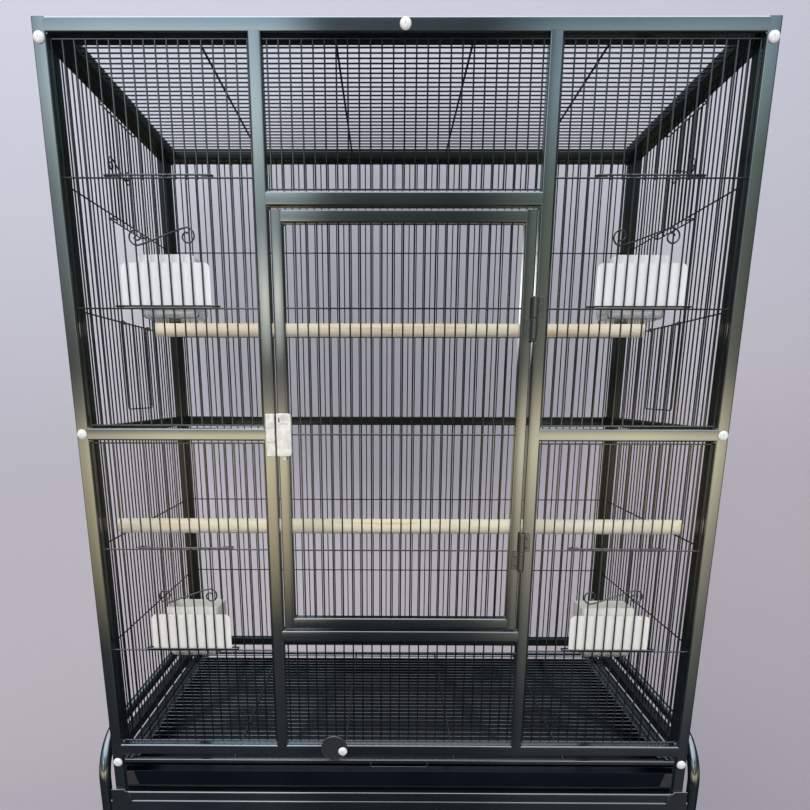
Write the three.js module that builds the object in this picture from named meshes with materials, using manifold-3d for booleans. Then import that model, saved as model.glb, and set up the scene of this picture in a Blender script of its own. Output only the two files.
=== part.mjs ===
// Breeding cage for canaries on a rolling stand.
// Millimetres, +Z up, +X to the right as seen from the front, the front faces -Y.
// The floor is z = 0 and the origin is under the middle of the whole object.

import * as THREE from 'three';
import { mergeVertices } from 'three/addons/utils/BufferGeometryUtils.js';
import Module from 'manifold-3d';

const wasm = await Module();
wasm.setup();

// ---------------------------------------------------------------- driving dimensions

// Cage and its square tube
const CAGE_WIDTH = 813;
const CAGE_DEPTH = 432;
const TUBE = 15;
const BAY = 141; // height between two cross wires
const BAYS = 3; // bays between two rails
const FOOT_RUN = 74; // from the underside of the bottom rail to the ends of the posts
const BASE_RAIL = 14; // height of the lowest rail, between the posts

// Wire
const WIRE = 2; // diameter
const PITCH = 12.7; // half an inch, centre to centre
const TIGHT_MARGIN = 1.6; // least distance from a rail to the first wire in the front sections
const LOOSE_MARGIN = 7.6; // the same in the sides, the roof and the door
const END_WIRE_INSET = 3.5; // end wire of a front section, from the rail that carries it
const WIRE_LET_IN = 1 / 3; // share of a tube that a wire's end is let into
const ROD = 2.4; // square rod that stiffens the roof and the grate
const ROD_SPACING = 157;
const ROD_COUNT = 4;

// Middle of the front
const DOORWAY_WIDTH = 314.5;
const TRANSOM = 156; // clear height above the lintel and below the sill
const DOOR_TUBE = 14;
const DOOR_SIDE_GAP = 2.5;
const DOOR_END_GAP = 3.75;
const DOOR_CROSS_SPACING = 149;

// Hinges of the main door
const HINGE_LENGTH = 48;
const HINGE_RADIUS = 4;
const HINGE_PIN_RADIUS = 1.6;
const HINGE_HEAD_RADIUS = 3.4;
const HINGE_HEAD_HEIGHT = 3;
const HINGE_LEAF_WIDTH = 11;
const HINGE_UPPER_RISE = 137.5; // above the middle of the door
const HINGE_LOWER_DROP = 148.5; // below the middle of the door
const LEAF_THICKNESS = 1.2;

// Latch of the main door
const LATCH_HEIGHT = 52;
const LATCH_DEPTH = 7.5;
const LATCH_WALL = 1.4;
const LATCH_BODY_WIDTH = 18;
const KEEPER_WIDTH = 10.5;
const TONGUE_HEIGHT = 12;
const TONGUE_THICKNESS = 2.4;
const TONGUE_TRAVEL = 7;
const TAIL_WIDTH = 4;
const TAIL_DROP = 5; // tail under the latch body

// Guillotine doors, in the front for the cups and in the sides for the nests
const GUIDE_PITCHES = 4.5; // guide wire, from the middle of the opening
const GUIDE_MARGIN = 0.75 * PITCH; // least distance from a guide to the first wire of its door
const LOOP_REACH = 62; // outer end of a guide loop, from the middle of the opening
const LOOP_RETURN = 9; // how far a guide loop turns back behind its guide wire
const DOOR_REST_ABOVE_WIRE = 2.6; // bottom strand above the cross wire, middle to middle
const GRIP_RISE = 76; // middle of the grip above the bottom strand
const GRIP_HALF = 29.7; // from the middle of the grip to the middle of a spiral
const GRIP_RADIUS = 9.6;
const GRIP_TURN = 1.2; // turns in one spiral
const GRIP_TAPER = 0.7; // share of the radius lost along a spiral
const GRIP_WELD = 1.4; // square spot that joins the grip to its door
const GRIP_POINTS = 12;
const GRIP_STEPS = 26;

// Cups
const CUP_PLATE_WIDTH = 106;
const CUP_PLATE_HEIGHT = 50;
const CUP_PLATE_CORNER = 7;
const CUP_WIDTH = 71;
const CUP_DEPTH = 52;
const CUP_DROP = 10.5; // floor of the cup below the cross wire that it hangs on
const CUP_FRONT_RISE = 61; // front wall above that wire
const CUP_BACK_RISE = 55;
const CUP_WALL = 1.8;
const CUP_CORNER = 4; // bevel at the back of the floor
const CUP_FRONT_CORNER = 3;

// Wire holders for the nest boxes
const BAIL_DROP = 122;
const BAIL_PITCHES = 4; // half width in wire pitches
const BAIL_EYE_RADIUS = 2.6;
const BAIL_EYE_TURN = 0.8; // turns
const BAIL_EYE_STEPS = 10;

// Perches
const PERCH_DIAMETER = 21;
const PERCH_SLOT = 2.6;
const UPPER_PERCH_WIRE = 21; // the side wire, from the front, that its ends clip on
const LOWER_PERCH_WIRE = 4;
const UPPER_PERCH_BELOW_TOP = 295.5;
const LOWER_PERCH_BELOW_TOP = 579;

// Floor: grate, tray and what they slide on
const GRATE_BELOW_RAIL = 8; // gap between the bottom rail and the grate
const GRATE_BAR = 9.5; // height of the grate's front bar
const GRATE_SIDE_BAR = 5;
const HANDLE_HALF = 40;
const HANDLE_REACH = 9;
const TRAY_HEIGHT = 23;
const TRAY_WALL = 1.2;
const TRAY_LIP = 2.4;
const TRAY_BELOW_GRATE = 8.5;
const TRAY_SIDE_CLEAR = 2.5;
const RUNNER_WIDTH = 13;
const RUNNER_THICKNESS = 1.5;

// Lock disc of the grate
const DISC_RADIUS = 18.5;
const DISC_THICKNESS = 2;
const DISC_OFFSET = 12.7; // pivot to middle
const DISC_PIVOT_X = -79.3;
const DISC_REST_TURN = 110; // degrees from hanging straight down, turned clear of the grate
const DISC_BOLT_LENGTH = 14;

// Bolts
const BOLT_HEAD_RADIUS = 6.3;
const BOLT_HEAD_HEIGHT = 3;
const BOLT_CROWN = 0.7; // flat top of the head, as a share of its radius
const BOLT_SHANK_RADIUS = 2.5;
const BOLT_LENGTH = 21;
const TOP_BOLT_DROP = 20;
const FOOT_BOLT_BELOW_RAIL = 12.5;

// Corner plates
const PLATE_WIDTH = 27;
const PLATE_HEIGHT = 23;
const PLATE_CUT = 9;
const PLATE_THICKNESS = 2;

// Stand
const STAND_HEIGHT = 635; // floor to the underside of the cage's posts
const LEG_RADIUS = 8;
const LEG_GAP = 9; // between the side of the cage and a leg
const HOOP_BEND = 60;
const HOOP_BEND_STEPS = 6;
const HOOP_RISE = 86; // middle of a hoop's level run above the cage's feet
const STAND_RAIL_HEIGHT = 25;
const SHELF_HEIGHT = 190; // top of the shelf's rim above the floor
const SHELF_RIM = 18;
const SHELF_SHEET = 1.5;
const WHEEL_RADIUS = 25;
const WHEEL_WIDTH = 18;
const WHEEL_BORE = 4; // radius
const WHEEL_CLEAR = 3; // above the tread
const CASTOR_HEIGHT = 66;
const CASTOR_TRAIL = 20;
const FORK_WALL = 2.5;
const CHEEK_HALF = 8;
const CASTOR_STEM_RADIUS = 5;
const CASTOR_STEM_LENGTH = 22;

// Fits
const SEAT = 0.3; // between pieces that touch
const RUN = 0.45; // between pieces that slide
const WELD_GAP = 0.2; // between crossed wires that pass each other
const OVERCUT = 1; // how far a cut runs past a face

// Sides of round sections
const FINE_SIDES = 12;
const ROUND_SIDES = 16;
const LARGE_SIDES = 24;
const DISC_SIDES = 32;

// ---------------------------------------------------------------- worked-out places

// Places of evenly pitched wires about the middle of a clear width
function wirePlaces(clear, margin) {
  const count = Math.floor((clear - 2 * margin) / PITCH) + 1;
  return Array.from({ length: count }, (_, n) => (n - (count - 1) / 2) * PITCH);
}

// Middle of the gap between two wires that lies nearest the middle
function middleGap(places) {
  return places[Math.floor((places.length - 1) / 2)] + PITCH / 2;
}

const STRAND = WIRE * Math.sqrt(Math.PI) / 2; // side of the square with the wire's section
const HALF_STRAND = STRAND / 2;
const CROSS_SETBACK = STRAND + WELD_GAP;
const SLIDE_SETBACK = CROSS_SETBACK + STRAND + RUN;
const LOOP_BACK = STRAND + RUN;

const HALF_WIDTH = CAGE_WIDTH / 2;
const INNER_HALF = HALF_WIDTH - TUBE;
const POST_X = HALF_WIDTH - TUBE / 2;
const WIRE_Y = TUBE / 2;
const SIDE_WIRE_X = POST_X;
const BACK_WIRE_Y = CAGE_DEPTH - TUBE / 2;
const SIDE_FRONT = TUBE + SEAT;
const SIDE_BACK = CAGE_DEPTH - TUBE - SEAT;

const POST_END = STAND_HEIGHT;
const PANEL_RISE = BAYS * BAY;
const BOTTOM_RAIL = POST_END + FOOT_RUN;
const LOWER_BASE = BOTTOM_RAIL + TUBE;
const MID_RAIL = LOWER_BASE + PANEL_RISE;
const UPPER_BASE = MID_RAIL + TUBE;
const TOP_RAIL = UPPER_BASE + PANEL_RISE;
const CAGE_TOP = TOP_RAIL + TUBE;

const UPRIGHT_INNER = DOORWAY_WIDTH / 2;
const UPRIGHT_OUTER = UPRIGHT_INNER + TUBE;
const SECTION_X = (UPRIGHT_OUTER + INNER_HALF) / 2;
const SECTION_PLACES = wirePlaces(INNER_HALF - UPRIGHT_OUTER, TIGHT_MARGIN);
const CUP_X = middleGap(SECTION_PLACES); // middle of an opening from the middle of its section
const LINTEL = TOP_RAIL - TRANSOM - TUBE;
const SILL = LOWER_BASE + TRANSOM;
const DOOR_BOTTOM = SILL + TUBE + DOOR_END_GAP;
const DOOR_TOP = LINTEL - DOOR_END_GAP;
const DOOR_MIDDLE = (DOOR_BOTTOM + DOOR_TOP) / 2;
const DOOR_HALF = UPRIGHT_INNER - DOOR_SIDE_GAP;
const DOOR_FRONT = (TUBE - DOOR_TUBE) / 2;

const GUIDE = GUIDE_PITCHES * PITCH;
const SIDE_PLACES = wirePlaces(SIDE_BACK - SIDE_FRONT - 2 * TUBE, LOOSE_MARGIN);
const NEST_Y = CAGE_DEPTH / 2 + middleGap(SIDE_PLACES);
const DOOR_RISE = BAY; // bottom strand to top strand
const TOP_STRAND_LIMIT = TOP_RAIL - END_WIRE_INSET - DOOR_REST_ABOVE_WIRE;

const GRATE_TOP = BOTTOM_RAIL - GRATE_BELOW_RAIL;
const GRATE_BOTTOM = GRATE_TOP - GRATE_BAR;
const TRAY_TOP = GRATE_BOTTOM - TRAY_BELOW_GRATE;
const TRAY_BOTTOM = TRAY_TOP - TRAY_HEIGHT;
const BASE_TOP = POST_END + BASE_RAIL;
const FLOOR_HALF = INNER_HALF - TRAY_SIDE_CLEAR;
const FLOOR_BACK = CAGE_DEPTH - TUBE - TRAY_SIDE_CLEAR;

const BOLT_HOLE_RADIUS = BOLT_SHANK_RADIUS + SEAT;
const LEG_X = HALF_WIDTH + LEG_GAP + LEG_RADIUS;
const LEG_FRONT_Y = WIRE_Y;
const LEG_BACK_Y = CAGE_DEPTH - WIRE_Y;
const LEG_BOTTOM = CASTOR_HEIGHT;
const RAIL_HALF = LEG_X - LEG_RADIUS - SEAT;
const STAND_RAIL_TOP = POST_END - SEAT;

// The handle of the grate is the foremost point and the legs are the rearmost
const HANDLE_FRONT = SEAT - HANDLE_REACH - HALF_STRAND;
const REAR = LEG_BACK_Y + LEG_RADIUS;
const MIDDLE_Y = (HANDLE_FRONT + REAR) / 2;

// ---------------------------------------------------------------- solids

function toSolid(geometry) {
  const bare = geometry.index ? geometry.toNonIndexed() : geometry.clone();
  bare.deleteAttribute('normal');
  bare.deleteAttribute('uv');
  const merged = mergeVertices(bare, 1e-4);
  return new wasm.Manifold(new wasm.Mesh({
    numProp: 3,
    vertProperties: new Float32Array(merged.attributes.position.array),
    triVerts: new Uint32Array(merged.index.array),
  }));
}

function box(x0, x1, y0, y1, z0, z1) {
  const low = [Math.min(x0, x1), Math.min(y0, y1), Math.min(z0, z1)];
  const high = [Math.max(x0, x1), Math.max(y0, y1), Math.max(z0, z1)];
  const geometry = new THREE.BoxGeometry(high[0] - low[0], high[1] - low[1], high[2] - low[2]);
  geometry.translate((low[0] + high[0]) / 2, (low[1] + high[1]) / 2, (low[2] + high[2]) / 2);
  return toSolid(geometry);
}

function join(solids) {
  return wasm.Manifold.union(solids);
}

// A round bar from one point to another
function bar(from, to, radius, sides = ROUND_SIDES) {
  const start = new THREE.Vector3(...from);
  const along = new THREE.Vector3(...to).sub(start);
  const geometry = new THREE.CylinderGeometry(radius, radius, along.length(), sides);
  const turn = new THREE.Quaternion();
  turn.setFromUnitVectors(new THREE.Vector3(0, 1, 0), along.clone().normalize());
  geometry.applyQuaternion(turn);
  geometry.translate(start.x + along.x / 2, start.y + along.y / 2, start.z + along.z / 2);
  return toSolid(geometry);
}

// A regular section swept along a curve
function swept(curve, radius, sides, steps) {
  const section = new THREE.Shape();
  for (let n = 0; n < sides; n += 1) {
    const angle = (n + 0.5) * 2 * Math.PI / sides;
    const x = radius * Math.cos(angle);
    const y = radius * Math.sin(angle);
    if (n === 0) section.moveTo(x, y);
    else section.lineTo(x, y);
  }
  section.closePath();
  return toSolid(new THREE.ExtrudeGeometry(section, { extrudePath: curve, steps, bevelEnabled: false }));
}

// Half diagonal of the square strand, for swept wire
const STRAND_REACH = STRAND / Math.SQRT2;

// A flat plate: an outline in X and Z, thickened along Y
function plateXZ(outline, y0, y1) {
  const settings = { depth: y1 - y0, bevelEnabled: false, curveSegments: 4 };
  const geometry = new THREE.ExtrudeGeometry(outline, settings);
  geometry.rotateX(Math.PI / 2);
  geometry.translate(0, y1, 0);
  return toSolid(geometry);
}

// A prism along X: an outline in Y and Z
function prismYZ(outline, x0, x1) {
  const settings = { depth: x1 - x0, bevelEnabled: false, curveSegments: 4 };
  const geometry = new THREE.ExtrudeGeometry(outline, settings);
  geometry.rotateY(Math.PI / 2);
  geometry.rotateX(Math.PI / 2);
  geometry.translate(x0, 0, 0);
  return toSolid(geometry);
}

function polygon(points) {
  return new THREE.Shape(points.map(([x, y]) => new THREE.Vector2(x, y)));
}

// Straight wires along one axis, each named by the middle of its section
const wireX = (y, z, x0, x1, side = STRAND) =>
  box(x0, x1, y - side / 2, y + side / 2, z - side / 2, z + side / 2);
const wireY = (x, z, y0, y1, side = STRAND) =>
  box(x - side / 2, x + side / 2, y0, y1, z - side / 2, z + side / 2);
const wireZ = (x, y, z0, z1, side = STRAND) =>
  box(x - side / 2, x + side / 2, y - side / 2, y + side / 2, z0, z1);

// ---------------------------------------------------------------- materials and the group

const FINISHES = {
  coat: { color: 0x1d2423, roughness: 0.3, metalness: 0.35 },
  wire: { color: 0x161a1b, roughness: 0.35, metalness: 0.3 },
  zinc: { color: 0xd5d8da, roughness: 0.3, metalness: 0.9 },
  bolt: { color: 0xf1f1ee, roughness: 0.3, metalness: 0.1 },
  wood: { color: 0xdcc594, roughness: 0.65, metalness: 0 },
  plastic: { color: 0xcfe0ea, roughness: 0.15, metalness: 0, transparent: true, opacity: 0.6 },
  tray: { color: 0x17191a, roughness: 0.4, metalness: 0.2 },
  tyre: { color: 0x1b1b1c, roughness: 0.7, metalness: 0 },
};

const cage = new THREE.Group();
cage.position.set(0, -MIDDLE_Y, 0);

function add(name, solid, finish) {
  const { vertProperties, triVerts } = solid.getMesh();
  const geometry = new THREE.BufferGeometry();
  geometry.setAttribute('position', new THREE.BufferAttribute(new Float32Array(vertProperties), 3));
  geometry.setIndex(new THREE.BufferAttribute(new Uint32Array(triVerts), 1));
  geometry.computeVertexNormals();
  const mesh = new THREE.Mesh(geometry, new THREE.MeshStandardMaterial(FINISHES[finish]));
  mesh.name = name;
  cage.add(mesh);
  return mesh;
}

// ---------------------------------------------------------------- bolts

const BOLTS = {
  bolt_top_left: [-POST_X, CAGE_TOP - TOP_BOLT_DROP],
  bolt_top_right: [POST_X, CAGE_TOP - TOP_BOLT_DROP],
  bolt_top_centre: [0, TOP_RAIL + TUBE / 2],
  bolt_middle_left: [-POST_X, MID_RAIL + TUBE / 2],
  bolt_middle_right: [POST_X, MID_RAIL + TUBE / 2],
  bolt_foot_left: [-POST_X, BOTTOM_RAIL - FOOT_BOLT_BELOW_RAIL],
  bolt_foot_right: [POST_X, BOTTOM_RAIL - FOOT_BOLT_BELOW_RAIL],
};
const DISC_PIVOT_Z = BOTTOM_RAIL + TUBE / 2;

function boltHole(x, z) {
  return bar([x, -TUBE, z], [x, BOLT_LENGTH + SEAT + TUBE, z], BOLT_HOLE_RADIUS, FINE_SIDES);
}

function drilled(solid) {
  const places = [...Object.values(BOLTS), [DISC_PIVOT_X, DISC_PIVOT_Z]];
  return solid.subtract(join(places.map(([x, z]) => boltHole(x, z))));
}

// A domed head and its shank, the head's seat at `face`
function bolt(x, z, face, length) {
  const seat = face - SEAT;
  const profile = [
    [0, -length],
    [BOLT_SHANK_RADIUS, -length],
    [BOLT_SHANK_RADIUS, 0],
    [BOLT_HEAD_RADIUS, 0],
    [BOLT_HEAD_RADIUS * BOLT_CROWN, BOLT_HEAD_HEIGHT],
    [0, BOLT_HEAD_HEIGHT],
  ].map(([r, h]) => new THREE.Vector2(r, h));
  const geometry = new THREE.LatheGeometry(profile, FINE_SIDES);
  geometry.rotateX(Math.PI);
  geometry.translate(x, seat, z);
  return toSolid(geometry);
}

for (const [name, [x, z]] of Object.entries(BOLTS)) {
  add(name, bolt(x, z, 0, BOLT_LENGTH), 'bolt');
}

// ---------------------------------------------------------------- front frame and its wires

function frontFrame() {
  const parts = [];
  for (const side of [-1, 1]) {
    parts.push(box(side * INNER_HALF, side * HALF_WIDTH, 0, TUBE, POST_END, CAGE_TOP));
    parts.push(box(side * UPRIGHT_INNER, side * UPRIGHT_OUTER, 0, TUBE, BOTTOM_RAIL, CAGE_TOP));
    parts.push(box(side * UPRIGHT_INNER, side * HALF_WIDTH, 0, TUBE, MID_RAIL, UPPER_BASE));
  }
  for (const level of [TOP_RAIL, BOTTOM_RAIL]) {
    parts.push(box(-HALF_WIDTH, HALF_WIDTH, 0, TUBE, level, level + TUBE));
  }
  for (const level of [LINTEL, SILL]) {
    parts.push(box(-UPRIGHT_OUTER, UPRIGHT_OUTER, 0, TUBE, level, level + TUBE));
  }
  return drilled(join(parts));
}

// One quarter of the front: pitched wires with an opening between the two cross wires
function cupSection(middle, base) {
  const half = (INNER_HALF - UPRIGHT_OUTER) / 2 - SEAT;
  const lowEnd = base + END_WIRE_INSET;
  const highEnd = base + PANEL_RISE - END_WIRE_INSET;
  const lowCross = base + BAY;
  const highCross = base + 2 * BAY;
  const crossY = WIRE_Y - CROSS_SETBACK;
  const parts = [
    wireX(WIRE_Y, lowEnd, middle - half, middle + half),
    wireX(WIRE_Y, highEnd, middle - half, middle + half),
    wireX(crossY, lowCross, middle - half, middle + half),
    wireX(crossY, highCross, middle - half, middle + half),
  ];
  const weld = (x, z) => wireY(x, z, crossY, WIRE_Y);
  for (const place of SECTION_PLACES) {
    const x = middle + place;
    if (Math.abs(place - CUP_X) < GUIDE - PITCH / 2) {
      parts.push(wireZ(x, WIRE_Y, lowEnd, lowCross + HALF_STRAND));
      parts.push(wireZ(x, WIRE_Y, highCross - HALF_STRAND, highEnd));
    } else {
      parts.push(wireZ(x, WIRE_Y, lowEnd, highEnd));
    }
  }
  for (const place of [SECTION_PLACES[0], SECTION_PLACES[SECTION_PLACES.length - 1]]) {
    parts.push(weld(middle + place, lowCross), weld(middle + place, highCross));
  }
  return join(parts);
}

function plainSection(base) {
  const half = UPRIGHT_INNER - SEAT;
  const lowEnd = base + END_WIRE_INSET;
  const highEnd = base + TRANSOM - END_WIRE_INSET;
  const parts = [wireX(WIRE_Y, lowEnd, -half, half), wireX(WIRE_Y, highEnd, -half, half)];
  for (const x of wirePlaces(DOORWAY_WIDTH, TIGHT_MARGIN)) {
    parts.push(wireZ(x, WIRE_Y, lowEnd, highEnd));
  }
  return join(parts);
}

add('front_frame', frontFrame(), 'coat');
const SECTIONS = {
  left_upper: [-SECTION_X, UPPER_BASE],
  left_lower: [-SECTION_X, LOWER_BASE],
  right_upper: [SECTION_X, UPPER_BASE],
  right_lower: [SECTION_X, LOWER_BASE],
};
for (const [name, [middle, base]] of Object.entries(SECTIONS)) {
  add(`front_wires_${name}`, cupSection(middle, base), 'wire');
}
add('front_wires_top_centre', plainSection(LINTEL + TUBE), 'wire');
add('front_wires_bottom_centre', plainSection(LOWER_BASE), 'wire');

// ---------------------------------------------------------------- main door, hinges and latch

function mainDoor() {
  const back = DOOR_FRONT + DOOR_TUBE;
  const inner = DOOR_HALF - DOOR_TUBE;
  const parts = [
    box(-DOOR_HALF, DOOR_HALF, DOOR_FRONT, back, DOOR_BOTTOM, DOOR_BOTTOM + DOOR_TUBE),
    box(-DOOR_HALF, DOOR_HALF, DOOR_FRONT, back, DOOR_TOP - DOOR_TUBE, DOOR_TOP),
    box(-DOOR_HALF, -inner, DOOR_FRONT, back, DOOR_BOTTOM, DOOR_TOP),
    box(inner, DOOR_HALF, DOOR_FRONT, back, DOOR_BOTTOM, DOOR_TOP),
  ];
  for (const x of wirePlaces(2 * inner, LOOSE_MARGIN)) {
    parts.push(wireZ(x, WIRE_Y, DOOR_BOTTOM + DOOR_TUBE / 2, DOOR_TOP - DOOR_TUBE / 2));
  }
  for (const step of [-1, 0, 1]) {
    const z = DOOR_MIDDLE + step * DOOR_CROSS_SPACING;
    parts.push(wireX(WIRE_Y - CROSS_SETBACK, z, -inner - HALF_STRAND, inner + HALF_STRAND));
  }
  return join(parts);
}

const HINGE_X = UPRIGHT_INNER - DOOR_SIDE_GAP / 2;
const HINGE_Y = -(SEAT + HINGE_RADIUS);

function knuckle(z0, z1) {
  const outer = bar([HINGE_X, HINGE_Y, z0], [HINGE_X, HINGE_Y, z1], HINGE_RADIUS);
  const from = [HINGE_X, HINGE_Y, z0 - OVERCUT];
  const to = [HINGE_X, HINGE_Y, z1 + OVERCUT];
  const bore = bar(from, to, HINGE_PIN_RADIUS + SEAT, FINE_SIDES);
  return [outer, bore];
}

function hingeFrameLeaf(middle) {
  const low = middle + SEAT / 2;
  const high = middle + HINGE_LENGTH / 2;
  const [outer] = knuckle(low, high);
  const leaf = box(HINGE_X, HINGE_X + HINGE_LEAF_WIDTH, -SEAT - LEAF_THICKNESS, -SEAT, low, high);
  const pinEnd = middle - HINGE_LENGTH / 2 - SEAT;
  const pin = bar([HINGE_X, HINGE_Y, pinEnd], [HINGE_X, HINGE_Y, high], HINGE_PIN_RADIUS, FINE_SIDES);
  const headEnd = pinEnd - HINGE_HEAD_HEIGHT;
  const head = bar([HINGE_X, HINGE_Y, headEnd], [HINGE_X, HINGE_Y, pinEnd], HINGE_HEAD_RADIUS);
  return join([outer, leaf, pin, head]);
}

function hingeDoorLeaf(middle) {
  const low = middle - HINGE_LENGTH / 2;
  const high = middle - SEAT / 2;
  const [outer, bore] = knuckle(low, high);
  const leaf = box(HINGE_X - HINGE_LEAF_WIDTH, HINGE_X, -SEAT - LEAF_THICKNESS, DOOR_FRONT - SEAT, low, high);
  return join([outer, leaf]).subtract(bore);
}

const LATCH_LOW = DOOR_MIDDLE - LATCH_HEIGHT / 2;
const LATCH_HIGH = DOOR_MIDDLE + LATCH_HEIGHT / 2;
const LATCH_FACE = -SEAT - LATCH_DEPTH;
const LATCH_LEFT = -DOOR_HALF - SEAT;
const LATCH_RIGHT = LATCH_LEFT + LATCH_BODY_WIDTH;
const KEEPER_RIGHT = -UPRIGHT_INNER - SEAT;
const KEEPER_LEFT = KEEPER_RIGHT - KEEPER_WIDTH;
const TONGUE_Y = LATCH_FACE + LATCH_DEPTH / 2;

function tongueSlot(x0, x1, grow) {
  const thick = TONGUE_THICKNESS / 2 + grow;
  const high = TONGUE_HEIGHT / 2 + grow;
  return box(x0, x1, TONGUE_Y - thick, TONGUE_Y + thick, DOOR_MIDDLE - high, DOOR_MIDDLE + high);
}

function latchKeeper() {
  const body = box(KEEPER_LEFT, KEEPER_RIGHT, LATCH_FACE, -SEAT, LATCH_LOW, LATCH_HIGH);
  return body.subtract(tongueSlot(KEEPER_LEFT + LATCH_WALL, KEEPER_RIGHT + OVERCUT, RUN));
}

function tail(grow) {
  const left = LATCH_LEFT + TONGUE_TRAVEL;
  const thick = TONGUE_THICKNESS / 2 + grow;
  return box(
    left - grow - (grow ? TONGUE_TRAVEL + LATCH_WALL : 0), left + TAIL_WIDTH + grow,
    TONGUE_Y - thick, TONGUE_Y + thick,
    LATCH_LOW - TAIL_DROP, DOOR_MIDDLE,
  );
}

function latchBody() {
  const body = box(LATCH_LEFT, LATCH_RIGHT, LATCH_FACE, DOOR_FRONT - SEAT, LATCH_LOW, LATCH_HIGH);
  const hollow = tongueSlot(LATCH_LEFT - OVERCUT, LATCH_RIGHT - LATCH_WALL, RUN);
  return body.subtract(hollow).subtract(tail(RUN));
}

function latchBolt() {
  return join([tongueSlot(LATCH_LEFT + SEAT, LATCH_RIGHT - LATCH_WALL - RUN, 0), tail(0)]);
}

add('main_door', mainDoor(), 'coat');
const HINGES = { upper: DOOR_MIDDLE + HINGE_UPPER_RISE, lower: DOOR_MIDDLE - HINGE_LOWER_DROP };
for (const [name, middle] of Object.entries(HINGES)) {
  add(`hinge_${name}_frame_leaf`, hingeFrameLeaf(middle), 'coat');
  add(`hinge_${name}_door_leaf`, hingeDoorLeaf(middle), 'coat');
}
add('latch_keeper', latchKeeper(), 'zinc');
add('latch_body', latchBody(), 'zinc');
add('latch_bolt', latchBolt(), 'zinc');

// ---------------------------------------------------------------- sides, back and roof

function sidePanel(side) {
  const near = side * INNER_HALF;
  const far = side * HALF_WIDTH;
  const wireFront = SIDE_FRONT + TUBE;
  const wireBack = SIDE_BACK - TUBE;
  const parts = [];
  for (const y of [SIDE_FRONT, wireBack]) {
    parts.push(box(near, far, y, y + TUBE, POST_END, CAGE_TOP));
  }
  for (const level of [BOTTOM_RAIL, MID_RAIL, TOP_RAIL]) {
    parts.push(box(near, far, SIDE_FRONT, SIDE_BACK, level, level + TUBE));
  }
  const x = side * SIDE_WIRE_X;
  const crossX = x + side * CROSS_SETBACK;
  const middle = CAGE_DEPTH / 2;
  const sink = TUBE * WIRE_LET_IN;
  for (const base of [LOWER_BASE, UPPER_BASE]) {
    const top = base + PANEL_RISE;
    for (const cross of [base + BAY, base + 2 * BAY]) {
      parts.push(wireY(crossX, cross, wireFront - sink, wireBack + sink));
    }
    for (const place of SIDE_PLACES) {
      const y = middle + place;
      if (base === UPPER_BASE && Math.abs(y - NEST_Y) < GUIDE - PITCH / 2) {
        parts.push(wireZ(x, y, base - sink, base + BAY + HALF_STRAND));
        parts.push(wireZ(x, y, base + 2 * BAY - HALF_STRAND, top + sink));
      } else {
        parts.push(wireZ(x, y, base - sink, top + sink));
      }
    }
  }
  return drilled(join(parts));
}

function backPanel() {
  const front = CAGE_DEPTH - TUBE;
  const sink = TUBE * WIRE_LET_IN;
  const parts = [];
  for (const side of [-1, 1]) {
    parts.push(box(side * INNER_HALF, side * HALF_WIDTH, front, CAGE_DEPTH, POST_END, CAGE_TOP));
  }
  for (const level of [BOTTOM_RAIL, MID_RAIL, TOP_RAIL]) {
    parts.push(box(-HALF_WIDTH, HALF_WIDTH, front, CAGE_DEPTH, level, level + TUBE));
  }
  for (const base of [LOWER_BASE, UPPER_BASE]) {
    for (const cross of [base + BAY, base + 2 * BAY]) {
      parts.push(wireX(BACK_WIRE_Y + CROSS_SETBACK, cross, -INNER_HALF - sink, INNER_HALF + sink));
    }
    for (const x of wirePlaces(2 * INNER_HALF, TIGHT_MARGIN)) {
      parts.push(wireZ(x, BACK_WIRE_Y, base - sink, base + PANEL_RISE + sink));
    }
  }
  return join(parts);
}

// A level frame of square tube with pitched wires across it and rods from front to back
function levelPanel(half, front, back, tube, low, wireZLevel, rodSide) {
  const sink = tube * WIRE_LET_IN;
  const parts = [
    box(-half, half, front, front + tube, low, low + tube),
    box(-half, half, back - tube, back, low, low + tube),
    box(-half, -half + tube, front, back, low, low + tube),
    box(half - tube, half, front, back, low, low + tube),
  ];
  const clear = back - front - 2 * tube;
  for (const place of wirePlaces(clear, LOOSE_MARGIN)) {
    const y = (front + back) / 2 + place;
    parts.push(wireX(y, wireZLevel, -half + tube - sink, half - tube + sink));
  }
  const rodZ = wireZLevel + rodSide * (HALF_STRAND + ROD / 2 + WELD_GAP);
  for (let n = 0; n < ROD_COUNT; n += 1) {
    const rodX = (n - (ROD_COUNT - 1) / 2) * ROD_SPACING;
    parts.push(wireY(rodX, rodZ, front + tube - sink, back - tube + sink, ROD));
  }
  return parts;
}

add('side_panel_left', sidePanel(-1), 'coat');
add('side_panel_right', sidePanel(1), 'coat');
add('back_panel', backPanel(), 'coat');
const roofWires = TOP_RAIL + TUBE / 2;
const roofParts = levelPanel(INNER_HALF - SEAT, SIDE_FRONT, SIDE_BACK, TUBE, TOP_RAIL, roofWires, 1);
add('roof_panel', drilled(join(roofParts)), 'coat');

// ---------------------------------------------------------------- guillotine doors

// Rise of the grip's middle stretch for each millimetre across
const GRIP_SLOPE = GRIP_RADIUS / GRIP_HALF;

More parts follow.
